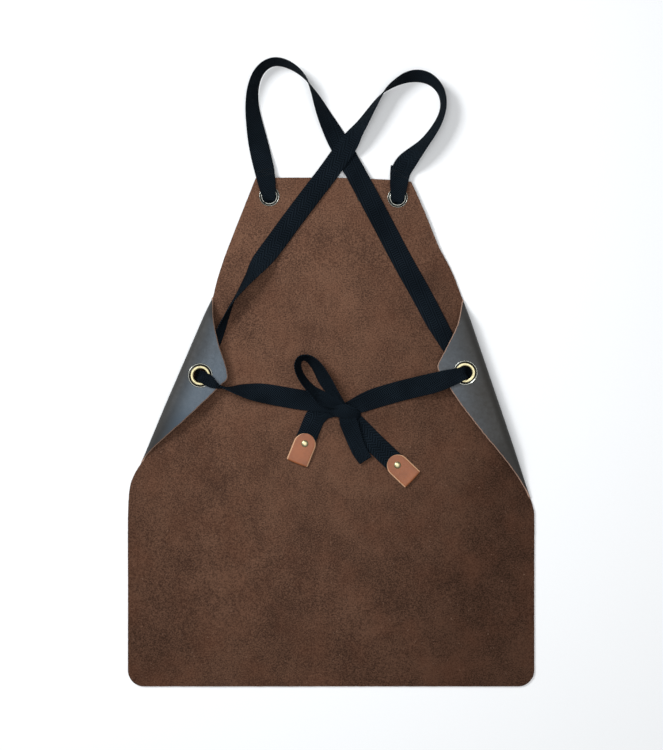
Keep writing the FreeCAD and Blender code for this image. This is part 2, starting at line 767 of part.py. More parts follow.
def lower_bow_loop():
    """The loop that is pressed flat, folded at its far end."""
    upper_ply = []
    lower_ply = []
    for x, y, heading_deg, upper_z, lower_z, width in LOWER_BOW_LOOP:
        turn = math.radians(heading_deg)
        across = Vector(-math.sin(turn), math.cos(turn), 0)
        upper_ply.append((Vector(x, y, upper_z), across, width))
        lower_ply.append((Vector(x, y, lower_z), across, width))
    x, y, heading_deg, z, width = LOWER_BOW_BEND
    turn = math.radians(heading_deg)
    bend = [(Vector(x, y, z), Vector(-math.sin(turn), math.cos(turn), 0), width)]
    return ribbon(upper_ply + bend + lower_ply[::-1])


def print_route(name, route):
    """Prints a stretch's length and its tightest plan radius."""
    points = [Vector(stop[0], stop[1], 0) for stop in route]
    length = sum((b - a).Length for a, b in zip(points, points[1:]))
    radii = []
    for a, b, c in zip(points, points[1:], points[2:]):
        doubled_area = (b - a).cross(c - a).Length
        if doubled_area > 0:
            radii.append((b - a).Length * (c - b).Length * (c - a).Length / (2 * doubled_area))
    print(f"{name:24s} length {length:7.1f}  tightest plan radius {min(radii):7.1f}")


def tail_with_hole(route, end, heading_deg):
    """A strap tail, holed for the rivet of its tip."""
    place = rivet_place(end, heading_deg)
    return ribbon(rolled(route)).cut(cylinder(place[0], place[1], 0, 20, RIVET_SHANK))


def make_all():
    """Builds and writes every node."""
    save("body_panel", body_panel())
    save("left_flap", left_flap())
    save("right_flap", right_flap())

    for side, place in (("left", LEFT_CHEST), ("right", RIGHT_CHEST)):
        save(side + "_chest_eyelet", on_bib(eyelet(CHEST_WASHER_RADIUS, CHEST_LIP_RADIUS), place))
        save(side + "_chest_washer", on_bib(washer(CHEST_WASHER_RADIUS), place))
    for side, fold, place in (("left", LEFT, LEFT_WAIST), ("right", RIGHT, RIGHT_WAIST)):
        save(side + "_waist_eyelet", on_flap(eyelet(WAIST_FLANGE_RADIUS, CHEST_LIP_RADIUS), fold, place))
        save(side + "_waist_washer", on_flap(washer(WAIST_WASHER_RADIUS), fold, place))

    for side, place, loop, run in (
        ("left", LEFT_CHEST, LEFT_LOOP, LEFT_RUN),
        ("right", RIGHT_CHEST, RIGHT_LOOP, RIGHT_RUN),
    ):
        save(side + "_strap_anchor", strap_anchor(place, loop))
        save(side + "_strap_sewn_end", sewn_end(place, loop))
        save(side + "_shoulder_loop", beyond_hinge(ribbon(rolled(loop)), 1))
        save(side + "_strap_run", beyond_hinge(ribbon(rolled(run)), -1))
        print_route(side + "_shoulder_loop", loop)
        print_route(side + "_strap_run", run)
    save("left_eyelet_webbing", through_eyelet(LEFT, LEFT_WAIST, LEFT_EYELET_WEB))
    save("right_eyelet_webbing", through_eyelet(RIGHT, RIGHT_WAIST, RIGHT_EYELET_WEB))
    save("left_waist_tie", ribbon(rolled(LEFT_TIE)))
    print_route("left_waist_tie", LEFT_TIE)
    save("right_waist_tie", ribbon(rolled(RIGHT_TIE)))
    print_route("right_waist_tie", RIGHT_TIE)

    save("bow_knot", bow_knot())
    save("upper_bow_loop", ribbon(rolled(UPPER_BOW_LOOP)))
    print_route("upper_bow_loop", UPPER_BOW_LOOP)
    save("lower_bow_loop", lower_bow_loop())

    tails = (
        ("left", LEFT_TAIL, LEFT_TIP_END, LEFT_TIP_HEADING),
        ("right", RIGHT_TAIL, RIGHT_TIP_END, RIGHT_TIP_HEADING),
    )
    stack_top = TIP_FOOT + 2 * TIP_LEATHER + WEB_THICK + 0.1
    for side, route, end, heading in tails:
        place = rivet_place(end, heading)
        save(side + "_tail", tail_with_hole(route, end, heading))
        save(side + "_tail_tip", strap_tip(end, heading))
        save(side + "_tip_rivet_cap", rivet_cap(place, stack_top))
        save(side + "_tip_rivet_post", rivet_post(place, TIP_FOOT, stack_top))

    save("front_patch", front_patch())
    bib_top = BIB_LIFT + LEATHER
    patch_low = BIB_LIFT - LEATHER
    places = patch_rivet_places()
    save("patch_rivet_caps", Part.makeCompound([rivet_cap(p, bib_top) for p in places]))
    save("patch_rivet_posts", Part.makeCompound([rivet_post(p, patch_low, bib_top) for p in places]))


make_all()
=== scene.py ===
"""Looks of a leather cross-back apron laid on its front, with its waist tied in a bow.

The file is laid out as a Blender add-on and is run as a script.  Metres, +Z up, in the frame
of the CAD model: X runs across the apron, +Y towards the bib, and the suede back looks up.
"""

import math

import bpy
from bpy.props import FloatProperty, FloatVectorProperty, IntProperty, PointerProperty
from mathutils import Matrix, Vector, noise
from mathutils.geometry import delaunay_2d_cdt


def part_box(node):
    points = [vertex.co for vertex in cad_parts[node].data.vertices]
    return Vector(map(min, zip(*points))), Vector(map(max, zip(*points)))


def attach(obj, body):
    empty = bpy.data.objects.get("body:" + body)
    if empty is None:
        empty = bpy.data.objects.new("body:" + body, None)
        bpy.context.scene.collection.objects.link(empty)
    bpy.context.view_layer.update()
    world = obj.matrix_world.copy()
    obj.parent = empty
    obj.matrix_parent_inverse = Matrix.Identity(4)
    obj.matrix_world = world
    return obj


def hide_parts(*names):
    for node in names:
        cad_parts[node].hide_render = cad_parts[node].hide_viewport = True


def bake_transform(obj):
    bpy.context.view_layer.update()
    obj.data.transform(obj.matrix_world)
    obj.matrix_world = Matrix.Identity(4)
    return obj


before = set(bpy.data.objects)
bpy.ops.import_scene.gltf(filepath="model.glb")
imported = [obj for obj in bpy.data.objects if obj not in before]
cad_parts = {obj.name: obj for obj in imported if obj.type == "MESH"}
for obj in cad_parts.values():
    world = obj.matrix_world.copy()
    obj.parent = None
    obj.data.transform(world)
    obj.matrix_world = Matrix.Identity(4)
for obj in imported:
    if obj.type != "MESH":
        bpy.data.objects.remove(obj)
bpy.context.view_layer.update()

bl_info = {
    "name": "Cross-back leather apron",
    "version": (1, 0, 0),
    "blender": (4, 5, 0),
    "location": "3D View > Sidebar > Apron",
    "description": "Builds the visible pieces of a leather apron around its CAD frame",
    "category": "Object",
}

UP = Vector((0, 0, 1))
MM = 0.001

# Hide
HALF_WIDTH = 0.300
HIDE_LENGTH = 0.75
HIDE_TOP = 0.002
HEM_Y = -0.375
HEM_RADIUS = 0.024
SIDE_TOP_Y = -0.129
BIB_LEFT = (-0.111, 0.3750)
BIB_RIGHT = (0.118, 0.3705)
BIB_CORNER = 0.005
BIB_LIFT = 0.004
RAMP_FOOT_Y = 0.239
RAMP_TOP_Y = 0.304
FLAP_SLOPE = math.radians(10)
LEFT_FOLD = ((-0.174, 0.201), (-0.281, -0.0465))
RIGHT_FOLD = ((0.1936, 0.198), (0.295, -0.100))
LEFT_FLAP_EDGE = [
    (-0.174, 0.198), (-0.171, 0.165), (-0.164, 0.130), (-0.1565, 0.107), (-0.152, 0.090),
    (-0.1518, 0.0785), (-0.159, 0.071), (-0.188, 0.043), (-0.2125, 0.020), (-0.260, -0.022),
    (-0.281, -0.0465),
]
RIGHT_FLAP_EDGE = [
    (0.193, 0.196), (0.186, 0.165), (0.178, 0.144), (0.1645, 0.117), (0.1563, 0.101),
    (0.156, 0.093), (0.160, 0.086), (0.187, 0.045), (0.2205, 0.001), (0.248, -0.032),
    (0.272, -0.063), (0.295, -0.100),
]
CHEST_HOLE = 0.011
WAIST_HOLE = 0.0122
# How far a cut edge bulges between its two faces.
CUT_BULGE = 0.00015
# How far along its line a fold takes to open, to close again, and to run out at its ends.
FOLD_OPENS_OVER = 0.036
FOLD_CLOSES_OVER = 0.110
FOLD_ENDS_OVER = 0.006
FOLD_ROWS = 40
# The relaxed hide's slow and quick waves: waves per metre, noise layer, share.
SLOW_WAVE = (6.5, 2.0, 0.7)
QUICK_WAVE = (17, 5.0, 0.3)
# Where the hide is held level: past a place up towards the bib, beside the folds, and round the bow.
HELD_ABOVE = 0.16
HELD_FADE_Y = 0.07
FOLD_HOLD = 0.05
BOW_HOLD_CENTRE = (0.01, 0.02)
BOW_HOLD_RADIUS = 0.12
BOW_HOLD_FADE = 0.08
# Rows of a triangular grid stand this share of its step apart.
ROW_SHARE = 0.866

# Webbing
WEB_WIDTH = 0.030
WEB_THICK = 0.0015
WEB_CLEAR = 0.0003
# Share across the webbing, share of its full thickness there.
WEB_SECTION = [
    (-1.0, 0.30), (-0.985, 0.72), (-0.94, 0.96), (-0.82, 1.0), (-0.6, 1.0), (-0.3, 1.0), (0.0, 1.0),
    (0.3, 1.0), (0.6, 1.0), (0.82, 1.0), (0.94, 0.96), (0.985, 0.72), (1.0, 0.30),
]
# Where a cupped section crosses its own mean height, and the slow ripple along the webbing.
CUP_MEAN = 0.33
RIPPLE = 0.00022
RIPPLE_PER_METRE = 26
RIPPLE_ACROSS = 2.4
# The sewn end under a strap: distance from the eyelet's middle, height, width.
SEWN_END = (
    (-0.0078, 0.0034, 0.0135), (-0.0070, 0.0018, 0.015), (-0.003, 0.0014, 0.018),
    (0.004, 0.0013, 0.020), (0.016, 0.0013, 0.024), (0.030, 0.0014, 0.028),
    (0.042, 0.0017, 0.0285), (0.047, 0.0019, 0.0285),
)
# How far in from the fold line a waist tie starts and stops bending as its corner lifts; the ties' builder
# works these places out but does not bend the ties.
TIE_BENDS_FROM = 0.070
TIE_BENDS_TO = 0.160
# The first place of a strap's route past the bib's top edge.
OVER_EDGE = 5

# Routes of the webbing: x, y, z, roll in degrees, width.  Roll lifts the left edge, and a z of
# None lays the lower edge on the hide.
LEFT_STRAP = [
    # Up through the chest eyelet and over the bib's top edge.
    (-0.0906, 0.3405, 0.003, 0, 0.0135),
    (-0.0906, 0.34, 0.0076, 0, 0.014),
    (-0.0908, 0.344, 0.00985, 0, 0.0175),
    (-0.0918, 0.3515, 0.0098, 0, 0.0215),
    (-0.0938, 0.363, 0.009, 0, 0.0255),
    # Shoulder loop.
    (-0.0963, 0.377, 0.0072, 0, 0.028),
    (-0.101, 0.398, 0.0055, 4, 0.03),
    (-0.106, 0.42, 0.0039, 11, 0.03),
    (-0.111, 0.445, 0.0088, 32, 0.03),
    (-0.115, 0.47, 0.0117, 47, 0.03),
    (-0.116, 0.487, 0.0129, 55, 0.03),
    (-0.115, 0.505, 0.0138, 62, 0.03),
    (-0.109, 0.525, 0.0145, 69, 0.03),
    (-0.098, 0.5385, 0.0149, 75, 0.03),
    (-0.083, 0.545, 0.0151, 79, 0.03),
    (-0.066, 0.542, 0.0151, 80, 0.03),
    (-0.05, 0.533, 0.0152, 84, 0.03),
    (-0.0385, 0.522, 0.0154, 90, 0.03),
    (-0.032, 0.512, 0.0154, 96, 0.03),
    (-0.024, 0.497, 0.0148, 110, 0.03),
    (-0.017, 0.4815, 0.0132, 124, 0.03),
    (-0.009, 0.4635, 0.011, 138, 0.03),
    (0.0025, 0.4425, 0.0067, 158, 0.03),
    (0.011, 0.4275, 0.0031, 174, 0.03),
    (0.0185, 0.415, 0.0032, 180, 0.03),
    (0.027, 0.399, 0.0044, 180, 0.03),
    # Down across the back to the right corner.
    (0.0372, 0.38, 0.0072, 180, 0.03),
    (0.0528, 0.351, 0.0094, 180, 0.03),
    (0.0595, 0.3385, 0.0094, 180, 0.03),
    (0.08, 0.3, 0.0071, 180, 0.03),
    (0.107, 0.249, None, 180, 0.03),
    (0.133, 0.204, None, 180, 0.03),
    (0.153, 0.166, None, 180, 0.03),
    (0.165, 0.145, 0.0045, 180, 0.027),
    (0.176, 0.124, 0.008, 180, 0.023),
    (0.185, 0.107, 0.013, 180, 0.019),
]
RIGHT_STRAP = [
    # Up through the chest eyelet and over the bib's top edge.
    (0.0974, 0.3385, 0.003, 0, 0.0135),
    (0.0974, 0.338, 0.0076, 0, 0.014),
    (0.0976, 0.342, 0.00985, 0, 0.0175),
    (0.0982, 0.3495, 0.0098, 0, 0.0215),
    (0.0993, 0.361, 0.009, 0, 0.0255),
    # Shoulder loop.
    (0.1006, 0.375, 0.0072, 0, 0.028),
    (0.103, 0.386, 0.0066, 0, 0.029),
    (0.1095, 0.3965, 0.0062, -10, 0.03),
    (0.12, 0.4075, 0.0098, -35, 0.03),
    (0.1355, 0.4235, 0.0137, -59, 0.03),
    (0.152, 0.445, 0.0142, -66, 0.03),
    (0.1625, 0.466, 0.0148, -74, 0.03),
    (0.1655, 0.483, 0.015, -78, 0.03),
    (0.1625, 0.4995, 0.015, -78, 0.03),
    (0.1535, 0.5125, 0.0149, -75, 0.03),
    (0.141, 0.521, 0.0145, -69, 0.03),
    (0.126, 0.524, 0.0142, -66, 0.03),
    (0.11, 0.5215, 0.0146, -70, 0.03),
    (0.096, 0.5145, 0.0151, -80, 0.03),
    (0.0835, 0.506, 0.0154, -88, 0.03),
    (0.0745, 0.497, 0.0153, -98, 0.03),
    (0.066, 0.485, 0.0149, -107, 0.03),
    (0.056, 0.4695, 0.0143, -115, 0.03),
    (0.0465, 0.4545, 0.0133, -124, 0.03),
    (0.037, 0.4415, 0.0124, -136, 0.03),
    (0.0295, 0.43, 0.0102, -154, 0.03),
    (0.0225, 0.42, 0.008, -170, 0.03),
    (0.019, 0.415, 0.0075, -175, 0.03),
    (0.0085, 0.4, 0.0078, -180, 0.03),
    # Down across the back to the left corner.
    (-0.0058, 0.38, 0.0073, -180, 0.03),
    (-0.0285, 0.3505, 0.0094, -180, 0.03),
    (-0.0375, 0.3385, 0.0094, -180, 0.03),
    (-0.063, 0.305, 0.0072, -180, 0.03),
    (-0.084, 0.276, None, -180, 0.03),
    (-0.098, 0.258, None, -168, 0.03),
    (-0.108, 0.245, None, -150, 0.03),
    (-0.117, 0.232, None, -130, 0.028),
    (-0.129, 0.216, None, -115, 0.026),
    (-0.14, 0.2, None, -100, 0.024),
    (-0.149, 0.184, None, -85, 0.022),
    (-0.157, 0.166, None, -70, 0.02),
    (-0.165, 0.146, 0.0095, -50, 0.018),
    (-0.174, 0.124, 0.0105, -30, 0.018),
    (-0.182, 0.105, 0.0135, -15, 0.018),
]
LEFT_WAIST_WEB = [
    # Up through the waist eyelet.
    (-0.199, 0.0855, 0.0135, 0, 0.015),
    (-0.1945, 0.085, 0.017, 0, 0.015),
    (-0.192, 0.0842, 0.0235, 0, 0.015),
    (-0.1895, 0.0832, 0.0262, 0, 0.016),
    (-0.185, 0.0805, 0.0262, 0, 0.017),
    # Over the folded corner, twisting once, then across to the knot.
    (-0.176, 0.075, 0.0232, 0, 0.017),
    (-0.168, 0.0708, 0.024, 40, 0.013),
    (-0.161, 0.0673, 0.0234, 80, 0.012),
    (-0.15, 0.0653, 0.0205, 105, 0.016),
    (-0.1418, 0.064, 0.0182, 122, 0.019),
    (-0.13, 0.0625, 0.014, 138, 0.024),
    (-0.116, 0.06, 0.01, 155, 0.027),
    (-0.103, 0.0585, 0.007, 166, 0.029),
    (-0.084, 0.055, 0.0042, 176, 0.03),
    (-0.062, 0.051, 0.0034, 180, 0.03),
    (-0.044, 0.048, 0.005, 180, 0.03),
    (-0.02, 0.0445, 0.0058, 180, 0.028),
    (-0.004, 0.0415, 0.0064, 180, 0.024),
    (0.008, 0.037, 0.0064, 180, 0.02),
]
RIGHT_WAIST_WEB = [
    # Along under the folded corner, then up through the waist eyelet.
    (0.219, 0.09, 0.0115, 0, 0.018),
    (0.208, 0.089, 0.0125, 0, 0.016),
    (0.199, 0.0888, 0.0165, 0, 0.015),
    (0.197, 0.0883, 0.0235, 0, 0.015),
    (0.1935, 0.0873, 0.0262, 0, 0.018),
    (0.188, 0.0852, 0.026, 0, 0.021),
    # Over the folded corner and across to the knot.
    (0.179, 0.082, 0.0224, 0, 0.024),
    (0.168, 0.0785, 0.021, 0, 0.027),
    (0.157, 0.075, 0.0192, 0, 0.029),
    (0.1474, 0.0723, 0.0163, 0, 0.03),
    (0.131, 0.0685, 0.0105, 0, 0.03),
    (0.113, 0.064, 0.0055, 0, 0.03),
    (0.094, 0.059, None, 0, 0.03),
    (0.066, 0.051, None, 0, 0.03),
    (0.049, 0.0445, None, 0, 0.028),
    (0.036, 0.039, 0.0042, 0, 0.024),
    (0.024, 0.034, 0.0048, 0, 0.02),
]
UPPER_LOOP = [
    (0.016, 0.038, 0.0085, 10, 0.01),
    (0.004, 0.043, 0.0108, 14, 0.016),
    (-0.009, 0.0485, 0.0126, 22, 0.022),
    (-0.0165, 0.0518, 0.0144, 42, 0.026),
    (-0.026, 0.06, 0.0166, 62, 0.028),
    (-0.038, 0.0725, 0.0158, 67, 0.028),
    (-0.047, 0.086, 0.0159, 69, 0.028),
    (-0.0506, 0.0995, 0.0159, 70, 0.028),
    (-0.0465, 0.1095, 0.0159, 72, 0.028),
    (-0.037, 0.1115, 0.0159, 71, 0.028),
    (-0.0273, 0.1065, 0.0152, 62, 0.028),
    (-0.0175, 0.094, 0.0142, 54, 0.028),
    (-0.0098, 0.079, 0.0134, 46, 0.028),
    (-0.0005, 0.065, 0.0138, 48, 0.026),
    (0.008, 0.0555, 0.0135, 56, 0.02),
    (0.014, 0.047, 0.011, 50, 0.014),
    (0.019, 0.039, 0.0082, 36, 0.012),
]
LEFT_TAIL = [
    (0.008, 0.034, 0.00305, 0, 0.022),
    (-0.004, 0.035, 0.00305, 0, 0.027),
    (-0.0145, 0.0315, 0.00305, 0, 0.03),
    (-0.0235, 0.0225, 0.00305, 0, 0.03),
    (-0.0282, 0.0115, 0.0035, 0, 0.03),
    (-0.032, 0.002, 0.0054, 0, 0.03),
    (-0.038, -0.013, 0.0054, 0, 0.03),
    (-0.0486, -0.0406, 0.0054, 0, 0.03),
]
RIGHT_TAIL = [
    (0.022, 0.028, 0.00305, 0, 0.026),
    (0.039, 0.0095, 0.00305, 0, 0.03),
    (0.0605, -0.0125, 0.00305, 0, 0.03),
    (0.072, -0.0236, 0.004, 0, 0.03),
    (0.0815, -0.0326, 0.0054, 0, 0.03),
    (0.092, -0.0426, 0.0054, 0, 0.03),
    (0.117, -0.0665, 0.0054, 0, 0.03),
]
KNOT_WRAP = [
    (-0.0020, 0.0305, 0.0045, 0, 0.008),
    (0.0030, 0.0305, 0.0088, 4, 0.013),
    (0.0095, 0.0312, 0.0116, 8, 0.018),
    (0.0185, 0.0312, 0.0126, 12, 0.0225),
    (0.0275, 0.0292, 0.0122, 13, 0.0225),
    (0.0355, 0.0258, 0.0098, 11, 0.018),
    (0.0400, 0.0238, 0.0066, 8, 0.014),
    (0.0418, 0.0228, 0.0040, 6, 0.011),
]
# Lower loop: x, y, heading in degrees, heights of the upper and the lower ply, width.
LOWER_LOOP = [
    (0.0215, 0.0250, 291, 0.0084, 0.0050, 0.022),
    (0.0250, 0.0170, 290, 0.0092, 0.0050, 0.0265),
    (0.0280, 0.0090, 289, 0.0095, 0.0050, 0.0265),
    (0.0348, -0.0115, 290, 0.0089, 0.0050, 0.0235),
    (0.0420, -0.0285, 297, 0.0084, 0.0056, 0.0222),
    (0.0496, -0.0389, 302, 0.0081, 0.0061, 0.0212),
]
# The bend that joins the two plies: x, y, heading in degrees, height, width.
LOWER_BEND = (0.0512, -0.0412, 302, 0.0071, 0.0210)

# Leather strap tips: the folded end in plan, and the heading from the strap to it.
LEFT_TIP = ((-0.0506, -0.0460), math.radians(248.0))
RIGHT_TIP = ((0.1208, -0.0700), math.radians(316.3))
TIP_WIDTH = 0.033
TIP_LENGTH = 0.047
TIP_LEATHER = 0.0016
TIP_SKIVE = 0.0017
TIP_FOOT = 0.003
TIP_GAP = 0.0016
TIP_ROWS = 64
TIP_COLUMNS = 16
TIP_WANDER = 0.00035
TIP_CURL = 0.0005

# Each tail's route, with where it starts and stops bending as it lifts or swings; the tails are built from
# their routes alone, and these two places go unused.
TAILS = {
    "left": (LEFT_TAIL, (-0.018, 0.034, 0), (-0.029, 0.0095, 0)),
    "right": (RIGHT_TAIL, (0.032, 0.018, 0), (0.048, 0.000, 0)),
}
TIP_PIECES = ("_tip_leather", "_tip_cap", "_tip_post")

# Painted shade along each fold, where the grain is painted darker: how far in it reaches, counted from a
# small distance past the fold line; it reaches further on the right corner.
FOLD_SHADE_REACH = {"left": 0.032, "right": 0.072}
FOLD_SHADE_FROM = 0.004

# Profiles of the metal pieces: radius and height in millimetres.
CHEST_LIP = [
    (10.0, -1.0), (10.5, -1.35), (11.5, -1.5), (13.6, -1.3), (14.8, -0.6), (14.8, 0.0), (10.6, 0.0),
    (10.6, 2.6), (11.9, 2.65), (12.3, 2.85), (12.15, 3.3), (11.6, 3.62), (11.0, 3.66), (10.4, 3.45),
    (10.05, 3.0), (10.0, 2.2),
]
CHEST_WASHER = [
    (10.6, 2.0), (14.8, 2.0), (14.8, 2.4), (14.5, 2.75), (14.1, 2.8), (13.7, 2.5), (13.4, 2.2),
    (12.5, 2.15), (12.2, 2.6), (10.6, 2.6),
]
# The waist flange looks up on a folded corner, so heights here are above the flap's face.
WAIST_FLANGE = [
    (10.0, 0.6), (10.05, 1.2), (10.5, 1.65), (11.4, 1.9), (12.7, 1.95), (14.0, 1.8), (14.9, 1.35),
    (15.4, 0.75), (15.9, 0.45), (16.5, 0.75), (17.1, 1.0), (17.7, 0.85), (18.0, 0.35), (18.0, 0.0),
    (10.6, 0.0), (10.6, -3.0), (11.9, -3.1), (11.9, -3.6), (10.3, -3.6), (10.0, -3.2),
]
WAIST_WASHER = [(10.6, -2.0), (10.6, -2.8), (15.5, -2.8), (16.0, -2.5), (16.0, -2.0)]
TIP_DOME = [
    (0.0, 2.0), (1.3, 1.94), (2.5, 1.74), (3.6, 1.36), (4.4, 0.9), (5.0, 0.42), (5.2, 0.1),
    (5.0, -0.15), (0.0, -0.15),
]
TIP_POST = [
    (0.0, 0.0), (3.9, 0.0), (4.5, 0.25), (4.6, 0.7), (4.4, 1.1), (1.5, 1.1), (1.5, 5.6), (0.0, 5.6),
]
PATCH_DOME = [(0.0, 2.0), (1.5, 1.92), (3.0, 1.6), (4.2, 1.05), (5.0, 0.4), (5.2, 0.05), (0.0, 0.0)]
PATCH_POST = [(0.0, 0.0), (4.2, 0.0), (4.7, 0.3), (4.8, 1.0), (1.4, 1.0), (1.4, 5.0), (0.0, 5.0)]
# Keeps a profile's end just off the axis, so that its faces stay open.
OFF_AXIS = 1e-6

# Front patch: its corner radius, its rings of points as shares of its outline, and the gap
# that keeps its upper face clear of the hide's.
PATCH_CORNER = 0.004
PATCH_RINGS = (1.0, 0.985, 0.94, 0.6, 0.2)
PATCH_CLEARANCE = 0.00002

# Seam: its runs along the strap, counted from SEAM_BACK before the bib's edge, its half width,
# and its height, which sinks into the webbing and falls off past SEAM_FALL_Y.
SEAM_START = 0.0105
SEAM_END = 0.0185
SEAM_HALF = 0.011
SEAM_BACK = 0.009
SEAM_TOP = 0.0092
SEAM_SINK = 0.0008
SEAM_FALL = 0.07
SEAM_FALL_Y = 0.378

# Where loose fibre lies on the suede.
FIBRE_OUTLINE = [
    (-0.285, -0.362), (0.285, -0.362), (0.285, -0.125), (0.150, 0.030), (0.105, 0.225),
    (-0.105, 0.225), (-0.150, 0.030), (-0.285, -0.125),
]

# Painted shade over the hide, lighter towards the bib and the left and darker to the right, to both sides
# and towards the hem: its slope across, its fall to both sides, and its band.
SHADE_SLOPE_ACROSS = -1.05
SHADE_FALL_TO_SIDES = -5.8
SHADE_BAND = (-0.70, 0.30)

# Stage
CAMERA_PLAN = (0.0006, 0.0847)
FLOOR_HALF = 4.0
FLOOR_Z = -0.0014
SOFTBOX_COLOUR = (0.95, 0.975, 1.0)
WORLD_STRENGTH = 0.20


# ---------------------------------------------------------------- settings


def linear(colour):
    """An sRGB hex colour as the linear colour that shaders work in."""
    channels = [int(colour[i:i + 2], 16) / 255 for i in (1, 3, 5)]
    return tuple(c / 12.92 if c <= 0.04045 else ((c + 0.055) / 1.055) ** 2.4 for c in channels) + (1.0,)


def colour_property(name, description, colour):
    """A colour setting with its default given as sRGB hex."""
    return FloatVectorProperty(
        name=name, description=description, default=linear(colour), size=4,
        subtype="COLOR", min=0.0, max=1.0,
    )


def length_property(name, description, default):
    """A length setting in metres."""
    return FloatProperty(
        name=name, description=description, default=default, unit="LENGTH",
        subtype="DISTANCE", precision=4, min=0.0,
    )


class ApronHideSettings(bpy.types.PropertyGroup):
    """Sizes and colours of the hide."""

    thickness: length_property("Thickness", "Thickness of the leather", 0.0020)
    fold_radius: length_property("Fold radius", "Outer radius of a corner's open fold", 0.0130)
    crease_radius: length_property("Crease radius", "Outer radius where a fold runs out", 0.0026)
    mesh_step: length_property("Mesh step", "Spacing of the surface's points", 0.0060)
    edge_step: length_property("Edge step", "Spacing of the points along a cut edge", 0.0022)
    skive: length_property("Skive", "How far the far face stops short at a cut edge", 0.0017)
    nick: length_property("Nick depth", "How far the knife wandered in along a cut edge", 0.0005)
    relaxed: length_property("Relaxed hollow", "How far the hide dips between high spots", 0.0010)
    # Tips and roots of the nap where the suede is painted as lit, then where it is painted as in shade.
    lit_suede_tips: colour_property("Suede, light", "Tips of the nap where it leans to the light", "#745442")
    lit_suede_roots: colour_property("Suede, shade", "Roots of the nap where it leans to the light", "#463127")
    shaded_suede_tips: colour_property("Suede, dark", "Tips of the nap where it leans away", "#4c3529")
    shaded_suede_roots: colour_property("Suede, deep", "Roots of the nap where it leans away", "#2c1d15")
    # The grain's slate blue is the dark leather's own colour with a painted sky reflection; the worn colour
    # is where the wax has gone, and also where the right corner is painted darker as shade.
    grain: colour_property("Grain", "Waxed outer face", "#3d4b57")
    worn_and_shaded_grain: colour_property("Grain, worn", "Outer face where the wax has gone", "#272625")
    cut: colour_property("Cut edge", "Raw fibre of the cut edge", "#c4a390")


class ApronWebbingSettings(bpy.types.PropertyGroup):
    """Sizes and colours of the webbing."""

    thread_pitch: length_property("Twill pitch", "Spacing of the twill lines", 0.0034)
    rib: length_property("Herringbone rib", "Width of one herringbone rib", 0.0075)
    yarn: colour_property("Yarn", "Dyed cotton yarn", "#020406")
    # Raised yarns are painted in this lighter colour as their highlight.
    lit_and_worn_yarn: colour_property("Yarn, worn", "High yarns, which fade first", "#232d36")


class ApronTrimSettings(bpy.types.PropertyGroup):
    """Colours of the metal and of the strap tips."""

    nickel: colour_property("Nickel", "Nickel plate of the chest eyelets", "#84857f")
    brass: colour_property("Pale brass", "Brass plate of the waist eyelets", "#b8ae88")
    tan: colour_property("Tan leather", "Vegetable-tanned strap tips", "#91532f")
    tan_edge: colour_property("Tan cut edge", "Raw edge of the strap tips", "#d8b394")
    segments: IntProperty(name="Segments", description="Facets round a turned piece", default=72, min=12)


class ApronStageSettings(bpy.types.PropertyGroup):
    """Camera and light."""

    camera_height: length_property("Camera height", "Height of the camera above the floor", 2.0)
    lens: FloatProperty(name="Lens", description="Focal length in millimetres", default=65.0, min=1.0)
    key_power: FloatProperty(
        name="Key power", description="Power of the side softbox", default=52.0, min=0.0)
    top_power: FloatProperty(
        name="Top power", description="Power of the overhead softbox", default=44.0, min=0.0)
    floor: colour_property("Floor", "Matt white paper", "#f4f4f4")


# ---------------------------------------------------------------- materials


def add_node(tree, kind, settings=None, inputs=None, links=None):
    """Adds one node, sets its properties and socket values, and joins its sockets."""
    node = tree.nodes.new(kind)
    for name, value in (settings or {}).items():
        setattr(node, name, value)
    for socket, value in (inputs or {}).items():
        node.inputs[socket].default_value = value
    for socket, source in (links or {}).items():
        tree.links.new(source, node.inputs[socket])
    return node


def new_material(name):
    """An empty node material and its tree."""
    material = bpy.data.materials.new(name)
    material.use_nodes = True
    material.node_tree.nodes.clear()
    return material, material.node_tree


def grain_noise(tree, coordinates, size, detail=3.0, roughness=0.55):
    """Noise whose lumps are about size metres across."""
    return add_node(
        tree, "ShaderNodeTexNoise",
        inputs={"Scale": 1.0 / size, "Detail": detail, "Roughness": roughness},
        links={"Vector": coordinates},
    ).outputs["Fac"]


def remap(tree, value, low, high, to_low=0.0, to_high=1.0):
    """Spreads a band of a value over a wider range, held at its ends."""
    return add_node(
        tree, "ShaderNodeMapRange",
        inputs={"From Min": low, "From Max": high, "To Min": to_low, "To Max": to_high},
        links={"Value": value},
    ).outputs["Result"]


def math_node(tree, operation, *values):
    """One sum on sockets and numbers."""
    inputs = {i: v for i, v in enumerate(values) if isinstance(v, (int, float))}
    links = {i: v for i, v in enumerate(values) if not isinstance(v, (int, float))}
    return add_node(tree, "ShaderNodeMath", {"operation": operation}, inputs, links).outputs[0]


def product(tree, first, second):
    """Two sockets or numbers multiplied."""
    return math_node(tree, "MULTIPLY", first, second)


def total(tree, first, second):
    """Two sockets or numbers added."""
    return math_node(tree, "ADD", first, second)


def mixed(tree, factor, first, second):
    """Two colours mixed by a socket; each is a colour or a socket."""
    inputs = {}
    links = {0: factor}
    for socket, colour in ((6, first), (7, second)):
        if isinstance(colour, bpy.types.NodeSocket):
            links[socket] = colour
        else:
            inputs[socket] = colour
    return add_node(tree, "ShaderNodeMix", {"data_type": "RGBA"}, inputs, links).outputs[2]


def bumped(tree, height, distance, strength=1.0, under=None):
    """A bumped normal from a height, on top of another bump if one is given."""
    links = {"Height": height}
    if under is not None:
        links["Normal"] = under
    return add_node(
        tree, "ShaderNodeBump", inputs={"Distance": distance, "Strength": strength}, links=links,
    ).outputs["Normal"]


